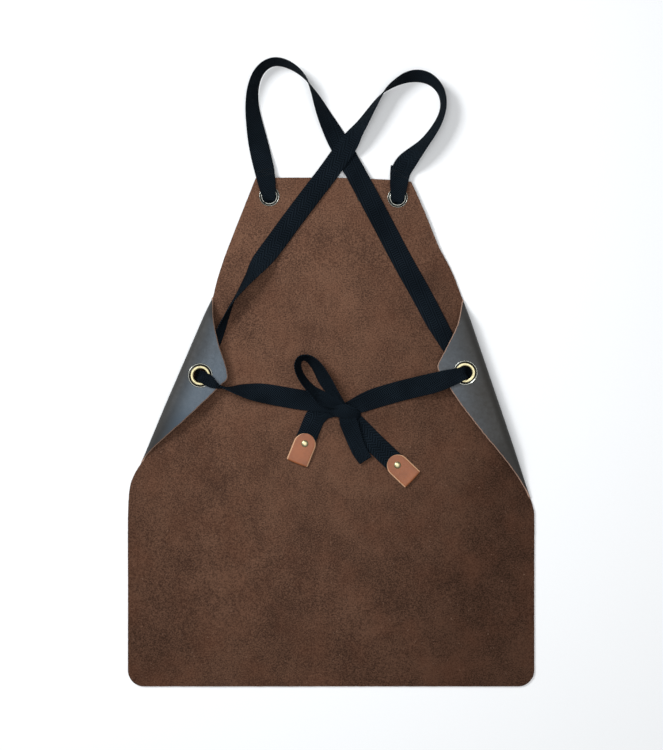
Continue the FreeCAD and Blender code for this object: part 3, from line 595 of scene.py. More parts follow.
def finished(tree, colour, normal, roughness, constants):
    """The surface shader and the output."""
    links = {"Normal": normal}
    inputs = dict(constants)
    for socket, value in (("Base Color", colour), ("Roughness", roughness)):
        if isinstance(value, bpy.types.NodeSocket):
            links[socket] = value
        else:
            inputs[socket] = value
    shader = add_node(tree, "ShaderNodeBsdfPrincipled", inputs=inputs, links=links)
    add_node(tree, "ShaderNodeOutputMaterial", links={"Surface": shader.outputs[0]})


def object_coordinates(tree):
    """Coordinates that stay on the piece."""
    return add_node(tree, "ShaderNodeTexCoord").outputs["Object"]


def stretched(tree, coordinates, scale, turn=0.0):
    """Coordinates turned about Z and scaled, for marks that run one way."""
    return add_node(
        tree, "ShaderNodeMapping", inputs={"Rotation": (0, 0, turn), "Scale": scale},
        links={"Vector": coordinates},
    ).outputs["Vector"]


def axes_of(tree, vector):
    """The X, Y and Z of a vector, as sockets."""
    return add_node(tree, "ShaderNodeSeparateXYZ", links={"Vector": vector}).outputs


def suede_material(settings):
    """Split cowhide, buffed on the flesh side: a matt nap in cloudy patches, with loose fibre."""
    material, tree = new_material("buffed_split_suede")
    at = object_coordinates(tree)
    clouds = grain_noise(tree, at, 0.130, 2.0, 0.5)
    patches = grain_noise(tree, at, 0.034, 2.0, 0.5)
    strokes = grain_noise(tree, stretched(tree, at, (1.0, 0.42, 1.0), 0.9), 0.0080, 2.0, 0.5)
    nap = grain_noise(tree, at, 0.0020, 2.0, 0.7)
    fibre = grain_noise(tree, at, 0.0030, 2.0, 0.7)
    weight = product(tree, remap(tree, clouds, 0.32, 0.68), 0.22)
    for value, low, high, share in (
        (patches, 0.30, 0.70, 0.12),
        (strokes, 0.32, 0.68, 0.08),
        (fibre, 0.36, 0.64, 0.16),
        (nap, 0.38, 0.62, 0.44),
    ):
        weight = total(tree, weight, product(tree, remap(tree, value, low, high), share))
    weight = remap(tree, weight, 0.26, 0.76)
    # Painted shade: the suede is painted lighter up by the bib and left of the middle, and darker to the
    # right, to the sides and towards the hem, as if the light fell off there.
    axes = axes_of(tree, at)
    lit_share = total(tree, axes["Y"], product(tree, axes["X"], SHADE_SLOPE_ACROSS))
    to_sides = product(tree, product(tree, axes["X"], axes["X"]), SHADE_FALL_TO_SIDES)
    lit_share = remap(tree, total(tree, lit_share, to_sides), *SHADE_BAND)
    # The shaded and the lit pair of nap tones, mixed by the painted shade.
    away = mixed(tree, weight, settings.shaded_suede_roots, settings.shaded_suede_tips)
    toward = mixed(tree, weight, settings.lit_suede_roots, settings.lit_suede_tips)
    colour = mixed(tree, lit_share, away, toward)
    # Some patches took the dye redder.
    warm = remap(tree, grain_noise(tree, at, 0.055, 2.0), 0.45, 0.75, 0.0, 0.28)
    colour = mixed(tree, warm, colour, linear("#5d3a2a"))
    speck = remap(tree, grain_noise(tree, at, 0.0032, 1.0, 0.3), 0.755, 0.80)
    colour = mixed(tree, product(tree, speck, 0.30), colour, linear("#8f7260"))
    normal = bumped(tree, patches, 0.0030, 0.5)
    normal = bumped(tree, fibre, 0.0012, 0.8, normal)
    normal = bumped(tree, nap, 0.0007, 0.9, normal)
    finished(tree, colour, normal, 0.95, {"Specular IOR Level": 0.05})
    return material


def grain_material(settings):
    """The same hide's grain side, waxed and plated smooth: a slaty sheen with faint pores."""
    material, tree = new_material("waxed_grain_leather")
    at = object_coordinates(tree)
    drift = grain_noise(tree, at, 0.070, 3.0)
    scuff = grain_noise(tree, at, 0.0060, 4.0, 0.7)
    pores = add_node(
        tree, "ShaderNodeTexVoronoi", inputs={"Scale": 1.0 / 0.0011}, links={"Vector": at},
    ).outputs["Distance"]
    creases = grain_noise(tree, stretched(tree, at, (1.0, 0.18, 1.0), 0.35), 0.016, 2.0)
    weight = product(tree, remap(tree, drift, 0.35, 0.68), 0.55)
    scuffed = product(tree, remap(tree, scuff, 0.4, 0.75), 0.25)
    weight = total(tree, weight, scuffed)
    # Painted reflection: the left corner is painted lighter and bluer, and the right one darker, as the
    # left corner catches the light.
    across = axes_of(tree, at)["X"]
    weight = total(tree, weight, remap(tree, across, -0.2, 0.2, -0.30, 0.30))
    colour = mixed(tree, weight, settings.grain, settings.worn_and_shaded_grain)
    # Painted shade: the grain is painted dark brown along the fold, where it curves away from the light.
    fold_shade = add_node(tree, "ShaderNodeAttribute", {"attribute_name": "fold_shade"}).outputs["Fac"]
    colour = mixed(tree, product(tree, fold_shade, 0.9), colour, linear("#24201a"))
    normal = bumped(tree, creases, 0.0018, 0.35)
    normal = bumped(tree, pores, 0.00012, 0.6, normal)
    rough = remap(tree, scuff, 0.3, 0.7, 0.40, 0.52)
    # The same band along the fold is made rougher too.
    rough = total(tree, rough, product(tree, fold_shade, 0.25))
    finished(tree, colour, normal, rough, {"Specular IOR Level": 0.55})
    return material


def cut_edge_material(name, colour_value, shade):
    """Leather cut with a knife: pale open fibre in thin layers."""
    material, tree = new_material(name)
    at = object_coordinates(tree)
    layers = grain_noise(tree, stretched(tree, at, (1.0, 1.0, 6.0)), 0.0016, 3.0, 0.7)
    colour = mixed(tree, remap(tree, layers, 0.35, 0.7), shade, colour_value)
    finished(tree, colour, bumped(tree, layers, 0.0005), 0.9, {"Specular IOR Level": 0.15})
    return material


def webbing_material(settings):
    """Dyed cotton webbing woven as herringbone twill: ribs of slanting lines that turn at each rib, painted
    as lighter raised yarns and darker grooves.

    The lines are drawn coarser than the real yarn so that they show.
    """
    material, tree = new_material("herringbone_cotton_webbing")
    line_slant = 1.15
    pick_pitch = settings.thread_pitch * 0.36
    place = add_node(tree, "ShaderNodeUVMap", {"uv_map": "weave"}).outputs["UV"]
    axes = axes_of(tree, place)
    fold = math_node(tree, "PINGPONG", axes["X"], settings.rib)
    slant = total(tree, axes["Y"], product(tree, fold, line_slant))
    wave = math_node(tree, "SINE", product(tree, slant, 2 * math.pi / settings.thread_pitch))
    lines = remap(tree, wave, -1.0, 1.0)
    across = math_node(tree, "SINE", product(tree, axes["X"], 2 * math.pi / pick_pitch))
    picks = remap(tree, across, -1.0, 1.0)
    at = object_coordinates(tree)
    fuzz = grain_noise(tree, at, 0.0011, 3.0, 0.7)
    fade = grain_noise(tree, at, 0.040, 2.0)
    height = total(tree, lines, product(tree, picks, 0.35))
    height = total(tree, height, product(tree, fuzz, 0.6))
    kept_dye = remap(tree, fade, 0.3, 0.7, 0.6, 1.0)
    # Painted light and shade: raised yarns are painted lighter and the grooves darker; a slow random
    # patchiness varies it too.
    shade = product(tree, remap(tree, height, 0.72, 1.58), kept_dye)
    colour = mixed(tree, shade, settings.yarn, settings.lit_and_worn_yarn)
    normal = bumped(tree, height, 0.00060, 0.9)
    finished(tree, colour, normal, 0.9, {"Specular IOR Level": 0.03})
    return material


def plated_material(name, colour, roughness):
    """Pressed metal, tumbled bright and plated: soft reflections with fine handling scratches."""
    material, tree = new_material(name)
    at = object_coordinates(tree)
    haze = grain_noise(tree, at, 0.0025, 3.0, 0.7)
    tone = mixed(tree, remap(tree, haze, 0.45, 0.8, 0.0, 0.35), colour, linear("#8d8672"))
    rough = remap(tree, haze, 0.3, 0.7, roughness, roughness + 0.12)
    finished(tree, tone, bumped(tree, haze, 0.00005, 0.5), rough, {"Metallic": 1.0})
    return material


def tan_material(settings):
    """Vegetable-tanned leather, smooth and lightly oiled: warm tan that darkens with handling."""
    material, tree = new_material("oiled_tan_leather")
    at = object_coordinates(tree)
    drift = grain_noise(tree, at, 0.016, 3.0)
    pores = grain_noise(tree, at, 0.0007, 2.0, 0.7)
    mark = remap(tree, grain_noise(tree, at, 0.0030, 3.0, 0.7), 0.60, 0.75, 0.0, 0.4)
    colour = mixed(tree, remap(tree, drift, 0.35, 0.7, 0.0, 0.8), settings.tan, linear("#7a4526"))
    colour = mixed(tree, mark, colour, linear("#5f3620"))
    normal = bumped(tree, pores, 0.0002, 0.6)
    finished(tree, colour, normal, remap(tree, pores, 0.3, 0.7, 0.42, 0.56), {"Specular IOR Level": 0.4})
    return material


def flat_material(name, colour, roughness, lump):
    """A plain matt stuff with a fine surface, for thread, fluff and paper."""
    material, tree = new_material(name)
    at = object_coordinates(tree)
    tooth = grain_noise(tree, at, lump)
    darker = tuple(c * 0.7 for c in colour[:3]) + (1,)
    tone = mixed(tree, remap(tree, tooth, 0.3, 0.7, 0.0, 0.12), colour, darker)
    finished(tree, tone, bumped(tree, tooth, lump * 0.05, 0.3), roughness, {"Specular IOR Level": 0.2})
    return material


def material_named(name):
    """A material made by an operator that has already run."""
    return bpy.data.materials[name]


# ---------------------------------------------------------------- geometry


def smooth(share):
    """Eases a share from 0 to 1."""
    held = min(1.0, max(0.0, share))
    return held * held * (3 - 2 * held)


def panel_top(y):
    """Height of the suede surface at y."""
    share = (y - RAMP_FOOT_Y) / (RAMP_TOP_Y - RAMP_FOOT_Y)
    return HIDE_TOP + BIB_LIFT * min(1.0, max(0.0, share))


class Fold:
    """One folded corner: u runs in from the fold line, v along it towards the hem."""

    def __init__(self, ends, side, flap_edge, settings):
        self.settings = settings
        self.start = Vector((*ends[0], 0))
        span = Vector((*ends[1], 0)) - self.start
        self.length = span.length
        self.along = span.normalized()
        self.inward = Vector((side * self.along.y, -side * self.along.x, 0))
        places = [self.local(x, y) for x, y in through(flap_edge, 0.003)]
        self.edge_places = sorted((v, u) for u, v in places)

    def local(self, x, y):
        """Distances in from the fold line and along it."""
        offset = Vector((x, y, 0)) - self.start
        return offset.dot(self.inward), offset.dot(self.along)

    def point(self, u, v, z):
        """A point in space from fold distances."""
        return self.start + self.inward * u + self.along * v + UP * z

    def radius(self, v):
        """Outer radius of the fold, which tightens to a crease at both ends."""
        opening = min(smooth(v / FOLD_OPENS_OVER), smooth((self.length - v) / FOLD_CLOSES_OVER))
        crease = self.settings.crease_radius
        return crease + (self.settings.fold_radius - crease) * opening

    def foot(self, v):
        """How far in from the fold line the leather leaves the floor."""
        return self.radius(v) * self.end_fade(v)

    def end_fade(self, v):
        """Fades the fold out where its cut edge runs into the hide's own edge."""
        return smooth(min(v, self.length - v) / FOLD_ENDS_OVER)

    def edge_u(self, v):
        """How far in the flap's cut edge lies."""
        before = (0.0, 0.0)
        for place in self.edge_places:
            if place[0] >= v:
                share = (v - before[0]) / max(place[0] - before[0], 1e-9)
                return before[1] + (place[1] - before[1]) * min(1.0, max(0.0, share))
            before = place
        return 0.0

    def arc_length(self, v):
        """Length of the round part of the leather's outer face."""
        return self.radius(v) * (math.pi + FLAP_SLOPE)

    def reach(self, v):
        """Length of the outer face from the panel to the cut edge."""
        radius = self.radius(v)
        u = self.edge_u(v)
        level = radius * (1 + math.sin(FLAP_SLOPE))
        if u < level:
            turned = math.pi + math.asin(max(-1.0, (u - radius) / radius))
            return radius * turned * self.end_fade(v)
        return self.arc_length(v) + (u - level) / math.cos(FLAP_SLOPE)

    def faces_at(self, v, run):
        """The outer and inner points at a distance run round the fold."""
        radius = self.radius(v)
        turned = min(run / radius, math.pi + FLAP_SLOPE)
        beyond = max(0.0, run - self.arc_length(v))
        normal = (-math.sin(turned), -math.cos(turned))
        u = self.foot(v) + radius * normal[0] + beyond * math.cos(FLAP_SLOPE)
        z = radius + radius * normal[1] - beyond * math.sin(FLAP_SLOPE)
        thick = self.settings.thickness
        outer = self.point(u, v, z)
        inner = self.point(u - normal[0] * thick, v, z - normal[1] * thick)
        return outer, inner

    def top(self, x, y):
        """Height of the flap's upper face over a plan point."""
        u, v = self.local(x, y)
        radius = self.radius(v)
        level = radius * (1 + math.sin(FLAP_SLOPE))
        return radius * (1 + math.cos(FLAP_SLOPE)) - (u - level) * math.tan(FLAP_SLOPE)

    def normal(self):
        """Outward direction of the flap's upper face."""
        return self.inward * math.sin(FLAP_SLOPE) + UP * math.cos(FLAP_SLOPE)


def folds(settings):
    """The left and right folds, each with the name of its side."""
    return (
        ("left", Fold(LEFT_FOLD, -1, LEFT_FLAP_EDGE, settings)),
        ("right", Fold(RIGHT_FOLD, 1, RIGHT_FLAP_EDGE, settings)),
    )


def through(points, step):
    """Plan points about step apart on a smooth curve through the given ones."""
    placed = []
    last = len(points) - 1
    for i in range(last):
        p0, p1, p2, p3 = (Vector(points[min(last, max(0, k))]) for k in (i - 1, i, i + 1, i + 2))
        count = max(1, round((p2 - p1).length / step))
        for j in range(count):
            t = j / count
            bend = (p1 * 2 + (p2 - p0) * t + (p0 * 2 - p1 * 5 + p2 * 4 - p3) * t * t
                    + (p1 * 3 - p0 - p2 * 3 + p3) * t ** 3) / 2
            placed.append((bend.x, bend.y))
    placed.append(tuple(points[-1]))
    return placed


def round_corner(centre, radius, start_deg, end_deg, step):
    """Plan points round a corner."""
    count = max(3, round(radius * math.radians(abs(end_deg - start_deg)) / step))
    angles = [math.radians(start_deg + (end_deg - start_deg) * i / count) for i in range(count + 1)]
    return [(centre[0] + radius * math.cos(a), centre[1] + radius * math.sin(a)) for a in angles]


def plan_noise(x, y, per_metre, layer):
    """Smooth noise over the plan, with its own layer for each use."""
    return noise.noise(Vector((x * per_metre, y * per_metre, layer)))


def in_scene(name, data):
    """A new object in the scene."""
    thing = bpy.data.objects.new(name, data)
    bpy.context.scene.collection.objects.link(thing)
    return thing


def mesh_object(name, points, faces, materials, face_slots=None, sharp_deg=38):
    """A smooth-shaded mesh piece with sharp corners."""
    mesh = bpy.data.meshes.new(name)
    mesh.from_pydata([tuple(p) for p in points], [], faces)
    for material in materials:
        mesh.materials.append(material)
    if face_slots:
        mesh.polygons.foreach_set("material_index", face_slots)
    mesh.polygons.foreach_set("use_smooth", [True] * len(mesh.polygons))
    mesh.set_sharp_from_angle(angle=math.radians(sharp_deg))
    mesh.validate()
    return in_scene(name, mesh)


def trimmed(outer, inner, faces):
    """Both faces' points and their faces list without the points that no face uses."""
    used = sorted({k for face in faces for k in face})
    index = {old: new for new, old in enumerate(used)}
    kept = [[index[k] for k in face] for face in faces]
    return [outer[k] for k in used], [inner[k] for k in used], kept


def leather_shell(name, face_points, back_points, faces, materials):
    """Closes two faces of a piece of leather with a wall round every free edge.

    The faces list is counter-clockwise seen from the first side, whose material comes first;
    the second is the back's and the third the wall's.
    """
    count = len(face_points)
    middle = [(Vector(a) + Vector(b)) / 2 for a, b in zip(face_points, back_points)]
    used = {}
    for face in faces:
        for a, b in zip(face, face[1:] + face[:1]):
            used[(a, b)] = True
    rim = [(a, b) for a, b in used if (b, a) not in used]
    pushes = {}
    for a, b in rim:
        along = Vector(face_points[b]) - Vector(face_points[a])
        thick = Vector(face_points[a]) - Vector(back_points[a])
        out = along.cross(thick).normalized()
        for end in (a, b):
            pushes[end] = pushes.get(end, Vector()) + out
    rim_index = {end: 2 * count + i for i, end in enumerate(pushes)}
    bulge = [middle[end] + push.normalized() * CUT_BULGE for end, push in pushes.items()]
    all_faces = [list(f) for f in faces]
    all_faces += [[i + count for i in reversed(f)] for f in faces]
    slots = [0] * len(faces) + [1] * len(faces)
    for a, b in rim:
        all_faces.append([b, a, rim_index[a], rim_index[b]])
        all_faces.append([rim_index[b], rim_index[a], a + count, b + count])
        slots += [2, 2]
    points = list(face_points) + list(back_points) + bulge
    return mesh_object(name, points, all_faces, materials, slots)


def spline_points(controls, resolution=10):
    """Points on the smooth NURBS line that a list of control points makes."""
    data = bpy.data.curves.new("route", "CURVE")
    data.dimensions = "3D"
    spline = data.splines.new("NURBS")
    spline.points.add(len(controls) - 1)
    for point, control in zip(spline.points, controls):
        point.co = (control[0], control[1], control[2], 1.0)
    spline.order_u = 3
    spline.use_endpoint_u = True
    spline.resolution_u = resolution
    holder = in_scene("route", data)
    bpy.context.view_layer.update()
    mesh = bpy.data.meshes.new_from_object(holder)
    line = [v.co.copy() for v in mesh.vertices]
    bpy.data.objects.remove(holder)
    bpy.data.meshes.remove(mesh)
    bpy.data.curves.remove(data)
    return line


def across_controls(route):
    """The direction across the webbing at each point of a route."""
    last = len(route) - 1
    controls = []
    for i, (x, y, z, roll, width) in enumerate(route):
        ahead = Vector(route[min(i + 1, last)][:2])
        behind = Vector(route[max(i - 1, 0)][:2])
        heading = (ahead - behind).normalized()
        turn = math.radians(roll)
        left = Vector((-heading.y, heading.x, 0))
        controls.append(left * math.cos(turn) + UP * math.sin(turn))
    return controls


def settled(route):
    """A route with its unset heights worked out, so that the webbing's lower edge is on the hide."""
    last = len(route) - 1
    places = []
    for i, (x, y, z, roll, width) in enumerate(route):
        if z is None:
            ahead = Vector(route[min(i + 1, last)][:2])
            behind = Vector(route[max(i - 1, 0)][:2])
            heading = (ahead - behind).normalized()
            turn = math.radians(roll)
            edge = abs(math.sin(turn)) * width / 2 + abs(math.cos(turn)) * WEB_THICK / 2
            spread = abs(heading.x * math.cos(turn)) * width / 2
            z = round(max(panel_top(y - spread), panel_top(y + spread)) + WEB_CLEAR + edge, 5)
        places.append((x, y, z, roll, width))
    return places


def webbing(name, route, across=None, cup=0.10):
    """Flat webbing along a route, with soft edges; returns the piece and its centre line.

    Webbing that is squeezed narrower than it was woven cups along its middle.
    """
    centres = spline_points(settled(route))
    sides = spline_points(across or across_controls(route))
    widths = [p.x for p in spline_points([(r[-1], 0, 0) for r in route])]
    ring = 2 * len(WEB_SECTION)
    last = len(centres) - 1
    points = []
    travelled = []
    far = 0.0
    for k, centre in enumerate(centres):
        tangent = (centres[min(k + 1, last)] - centres[max(k - 1, 0)]).normalized()
        side = (sides[k] - tangent * sides[k].dot(tangent)).normalized()
        normal = tangent.cross(side)
        far += (centre - centres[k - 1]).length if k else 0.0
        travelled.append(far)
        spare = math.sqrt(max(0.0, WEB_WIDTH ** 2 - min(widths[k], WEB_WIDTH) ** 2))
        ripple = noise.noise(Vector((far * RIPPLE_PER_METRE, len(route), 0.3))) * RIPPLE
        row = []
        for share, thick in WEB_SECTION:
            lift = cup * spare * (share * share - CUP_MEAN) + ripple * math.cos(share * RIPPLE_ACROSS)
            mid = centre + side * (share * widths[k] / 2) + normal * lift
            row.append((mid, normal * (thick * WEB_THICK / 2)))
        points += [mid + half for mid, half in row]
        points += [mid - half for mid, half in reversed(row)]
    faces = []
    for k in range(last):
        for j in range(ring):
            after = (j + 1) % ring
            faces.append([k * ring + j, k * ring + after, (k + 1) * ring + after, (k + 1) * ring + j])
    faces.append(list(reversed(range(ring))))
    faces.append([last * ring + j for j in range(ring)])
    piece = mesh_object(name, points, faces, [material_named("herringbone_cotton_webbing")], sharp_deg=80)
    weave = piece.data.uv_layers.new(name="weave")
    shares = [share for share, thick in WEB_SECTION]
    shares += list(reversed(shares))
    for loop in piece.data.loops:
        k, j = divmod(loop.vertex_index, ring)
        weave.data[loop.index].uv = ((shares[j] + 1) / 2 * WEB_WIDTH, travelled[k])
    return piece, centres


def turned_piece(name, profile, materials, place, slots=None, segments=72, off_axis=0.0):
    """A turned piece from a profile in millimetres, closed on itself and set in place by a matrix."""
    rings = [(r * MM + off_axis, z * MM) for r, z in profile]
    count = len(rings)
    points = []
    for i in range(segments):
        angle = 2 * math.pi * i / segments
        cosine = math.cos(angle)
        sine = math.sin(angle)
        points += [place @ Vector((r * cosine, r * sine, z)) for r, z in rings]
    faces = []
    face_slots = []
    for i in range(segments):
        for j in range(count):
            a = i * count + j
            b = ((i + 1) % segments) * count + j
            after = (j + 1) % count - j
            faces.append([a, b, b + after, a + after])
            face_slots.append(slots[j] if slots else 0)
    return mesh_object(name, points, faces, materials, face_slots, sharp_deg=50)


def standing_at(x, y, z, normal=None):
    """A place with its Z along a normal."""
    turn = UP.rotation_difference(normal or UP).to_matrix().to_4x4()
    return Matrix.Translation((x, y, z)) @ turn


def plan_centre(node):
    """Middle of a CAD node in plan."""
    low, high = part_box(node)
    return (low.x + high.x) / 2, (low.y + high.y) / 2


# ---------------------------------------------------------------- geometry nodes


def node_group(name, inputs):
    """A geometry tree with named inputs: (name, socket type, default)."""
    tree = bpy.data.node_groups.new(name, "GeometryNodeTree")
    tree.interface.new_socket(name="Geometry", in_out="INPUT", socket_type="NodeSocketGeometry")
    for label, kind, default in inputs:
        socket = tree.interface.new_socket(name=label, in_out="INPUT", socket_type=kind)
        if default is not None:
            socket.default_value = default
    tree.interface.new_socket(name="Geometry", in_out="OUTPUT", socket_type="NodeSocketGeometry")
    return tree


def stitch_tree():
    """Lays one thread stitch per pitch along a line of points."""
    tree = node_group("stitch_row", [
        ("Pitch", "NodeSocketFloat", 0.0032), ("Length", "NodeSocketFloat", 0.0024),
        ("Thread", "NodeSocketFloat", 0.0007), ("Material", "NodeSocketMaterial", None),
    ])
    start = add_node(tree, "NodeGroupInput").outputs
    line = add_node(tree, "GeometryNodeMeshToCurve", links={"Mesh": start["Geometry"]})
    spaced = add_node(
        tree, "GeometryNodeResampleCurve", {"mode": "LENGTH"},
        links={"Curve": line.outputs["Curve"], "Length": start["Pitch"]},
    )
    tangent = add_node(tree, "GeometryNodeInputTangent")
    kept = add_node(
        tree, "GeometryNodeCaptureAttribute", {"domain": "POINT"},
        links={"Geometry": spaced.outputs["Curve"]},
    )
    kept.capture_items.new("VECTOR", "Tangent")
    tree.links.new(tangent.outputs["Tangent"], kept.inputs["Tangent"])
    turn = add_node(
        tree, "FunctionNodeAlignRotationToVector", {"axis": "X"},
        links={"Vector": kept.outputs["Tangent"]},
    )
    size = add_node(tree, "ShaderNodeCombineXYZ", links={
        "X": start["Length"], "Y": start["Thread"], "Z": start["Thread"],
    })
    bead = add_node(tree, "GeometryNodeMeshUVSphere", inputs={"Segments": 8, "Rings": 6, "Radius": 0.5})
    laid = add_node(tree, "GeometryNodeInstanceOnPoints", links={
        "Points": kept.outputs["Geometry"], "Instance": bead.outputs["Mesh"],
        "Rotation": turn.outputs["Rotation"], "Scale": size.outputs["Vector"],
    })
    finish_tree(tree, laid.outputs["Instances"], start["Material"])
    return tree


def fluff_tree():
    """Scatters short curled fibres over a surface."""
    tree = node_group("loose_fibre", [
        ("Density", "NodeSocketFloat", 900.0), ("Length", "NodeSocketFloat", 0.0026),
        ("Fibre", "NodeSocketFloat", 0.00016), ("Seed", "NodeSocketInt", 7),
        ("Material", "NodeSocketMaterial", None),
    ])
    start = add_node(tree, "NodeGroupInput").outputs
    spots = add_node(
        tree, "GeometryNodeDistributePointsOnFaces", {"distribute_method": "RANDOM"},
        links={"Mesh": start["Geometry"], "Density": start["Density"], "Seed": start["Seed"]},
    )
    half = add_node(tree, "ShaderNodeMath", {"operation": "MULTIPLY"}, {1: 0.5}, {0: start["Length"]})
    tip = add_node(tree, "ShaderNodeCombineXYZ", links={"X": start["Length"], "Y": half.outputs[0]})
    bow = add_node(tree, "ShaderNodeCombineXYZ", links={"X": half.outputs[0], "Z": half.outputs[0]})
    hair = add_node(
        tree, "GeometryNodeCurveQuadraticBezier", inputs={"Resolution": 3, "Start": (0, 0, 0)},
        links={"Middle": bow.outputs["Vector"], "End": tip.outputs["Vector"]},
    )
    section = add_node(
        tree, "GeometryNodeCurvePrimitiveCircle", inputs={"Resolution": 4},
        links={"Radius": start["Fibre"]},
    )
    strand = add_node(tree, "GeometryNodeCurveToMesh", inputs={"Fill Caps": True}, links={
        "Curve": hair.outputs["Curve"], "Profile Curve": section.outputs["Curve"],
    })
    spin = add_node(
        tree, "FunctionNodeRandomValue", {"data_type": "FLOAT_VECTOR"},
        {0: (-0.3, -0.3, 0.0), 1: (0.3, 0.3, 2 * math.pi)}, {"Seed": start["Seed"]},
    )
    grow = add_node(
        tree, "FunctionNodeRandomValue", {"data_type": "FLOAT"}, {2: 0.35, 3: 1.0}, {"Seed": start["Seed"]},
    )
    laid = add_node(tree, "GeometryNodeInstanceOnPoints", links={
        "Points": spots.outputs["Points"], "Instance": strand.outputs["Mesh"],
        "Rotation": spin.outputs[0], "Scale": grow.outputs[1],
    })
    finish_tree(tree, laid.outputs["Instances"], start["Material"])
    return tree


def finish_tree(tree, instances, material):
    """Ends a tree in real geometry with its material."""
    real = add_node(tree, "GeometryNodeRealizeInstances", links={"Geometry": instances})
    painted = add_node(tree, "GeometryNodeSetMaterial", links={
        "Geometry": real.outputs["Geometry"], "Material": material,
    })
    add_node(tree, "NodeGroupOutput", links={"Geometry": painted.outputs["Geometry"]})


def grown(name, points, edges, faces, tree, values, body=None):
    """Runs a geometry tree on a bare mesh and keeps the result as a plain piece."""
    mesh = bpy.data.meshes.new(name)
    mesh.from_pydata([tuple(p) for p in points], edges, faces)
    holder = in_scene(name + "_base", mesh)
    modifier = holder.modifiers.new("grow", "NODES")
    modifier.node_group = tree
    for item in tree.interface.items_tree:
        if item.in_out == "INPUT" and item.name in values:
            modifier[item.identifier] = values[item.name]
    bpy.context.view_layer.update()
    grown_holder = holder.evaluated_get(bpy.context.evaluated_depsgraph_get())
    result = bpy.data.meshes.new_from_object(grown_holder)
    result.name = name
    bpy.data.objects.remove(holder)
    piece = in_scene(name, result)
    result.polygons.foreach_set("use_smooth", [True] * len(result.polygons))
    if body:
        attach(piece, body)
    return piece


# ---------------------------------------------------------------- operators


class APRON_OT_stage(bpy.types.Operator):
    """Makes the floor, the soft light, the camera and every material"""

    bl_idname = "apron.stage"
    bl_label = "Stage and materials"

    def execute(self, context):
        scene = context.scene
        settings = scene.apron_stage
        camera_data = bpy.data.cameras.new("camera")
        camera_data.lens = settings.lens
        camera = in_scene("camera", camera_data)
        camera.location = (*CAMERA_PLAN, settings.camera_height)
        scene.camera = camera

        floor_paper = flat_material("white_paper", settings.floor, 0.9, 0.0008)
        signs = ((-1, -1), (1, -1), (1, 1), (-1, 1))
        corners = [(x * FLOOR_HALF, y * FLOOR_HALF, FLOOR_Z) for x, y in signs]
        mesh_object("floor", corners, [[0, 1, 2, 3]], [floor_paper])

        for name, place, size, power in (
            ("top_softbox", (0.1, 0.0, 2.6), 1.9, settings.top_power),
            ("key_softbox", (-1.5, 1.15, 1.9), 0.8, settings.key_power),
        ):
            light_data = bpy.data.lights.new(name, "AREA")
            light_data.size = size
            light_data.energy = power
            light_data.color = SOFTBOX_COLOUR
            light = in_scene(name, light_data)
            light.location = place
            towards = Vector((0, 0, 0)) - Vector(place)
            light.rotation_euler = towards.to_track_quat("-Z", "Y").to_euler()
        world = bpy.data.worlds.new("studio")
        world.use_nodes = True
        background = world.node_tree.nodes["Background"].inputs
        background["Color"].default_value = (1, 1, 1, 1)
        background["Strength"].default_value = WORLD_STRENGTH
        scene.world = world
        scene.view_settings.view_transform = "Standard"

        hide = scene.apron_hide
        trim = scene.apron_trim
        suede_material(hide)
        grain_material(hide)
        cut_edge_material("knife_cut_hide_edge", hide.cut, linear("#7d5f4f"))
        webbing_material(scene.apron_webbing)
        plated_material("bright_nickel_plate", trim.nickel, 0.16)
        plated_material("pale_brass_plate", trim.brass, 0.36)
        # The eyelets' grooves are painted near-black as shade.
        plated_material("dark_groove_plate", linear("#2a2a29"), 0.45)
        tan_material(trim)
        cut_edge_material("knife_cut_tan_edge", trim.tan_edge, linear("#b98560"))
        flat_material("waxed_black_thread", linear("#15181c"), 0.6, 0.0004)
        flat_material("loose_hide_fibre", linear("#8d7263"), 0.9, 0.0004)
        return {"FINISHED"}


class APRON_OT_straps(bpy.types.Operator):
    """Makes the two webbing straps, from the chest eyelets to the folded corners"""

    bl_idname = "apron.straps"
    bl_label = "Shoulder straps"

    def execute(self, context):
        for side, route in (("left", LEFT_STRAP), ("right", RIGHT_STRAP)):
            piece, line = webbing(side + "_shoulder_strap", route)
            end = webbing(side + "_strap_end", self.sewn_under(side))[0]
            for part in (piece, end):
                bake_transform(part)
            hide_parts(side + "_strap_anchor", side + "_shoulder_loop", side + "_strap_run")
            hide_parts(side + "_strap_sewn_end")
        return {"FINISHED"}

    def sewn_under(self, side):
        """The webbing's end, from the eyelet along the front and past the bib's top edge."""
        x, y = plan_centre(side + "_chest_eyelet")
        loop = (LEFT_STRAP if side == "left" else RIGHT_STRAP)[OVER_EDGE]
        way = (Vector(loop[:2]) - Vector((x, y))).normalized()
        return [(x + way.x * run, y + way.y * run, z, 0, width) for run, z, width in SEWN_END]


class APRON_OT_waist_ties(bpy.types.Operator):
    """Makes the webbing that comes up through the waist eyelets, and its tails past the knot"""

    bl_idname = "apron.waist_ties"
    bl_label = "Waist ties and tails"

    def execute(self, context):
        settings = context.scene.apron_hide
        for side, fold in folds(settings):
            route = LEFT_WAIST_WEB if side == "left" else RIGHT_WAIST_WEB
            piece, line = webbing(side + "_waist_tie_webbing", route)
            start = fold.point(TIE_BENDS_FROM, 0, 0)
            end = fold.point(TIE_BENDS_TO, 0, 0)
            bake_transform(piece)
            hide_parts(side + "_eyelet_webbing", side + "_waist_tie")
            on_it = [self.tail(side)] + [bpy.data.objects[side + name] for name in TIP_PIECES]
        return {"FINISHED"}

    def tail(self, side):
        """The end of a tie, from the knot into its leather tip."""
        route, start, end = TAILS[side]
        piece = webbing("bow_" + side + "_tail", route)[0]
        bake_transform(piece)
        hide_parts(side + "_tail")
        return piece


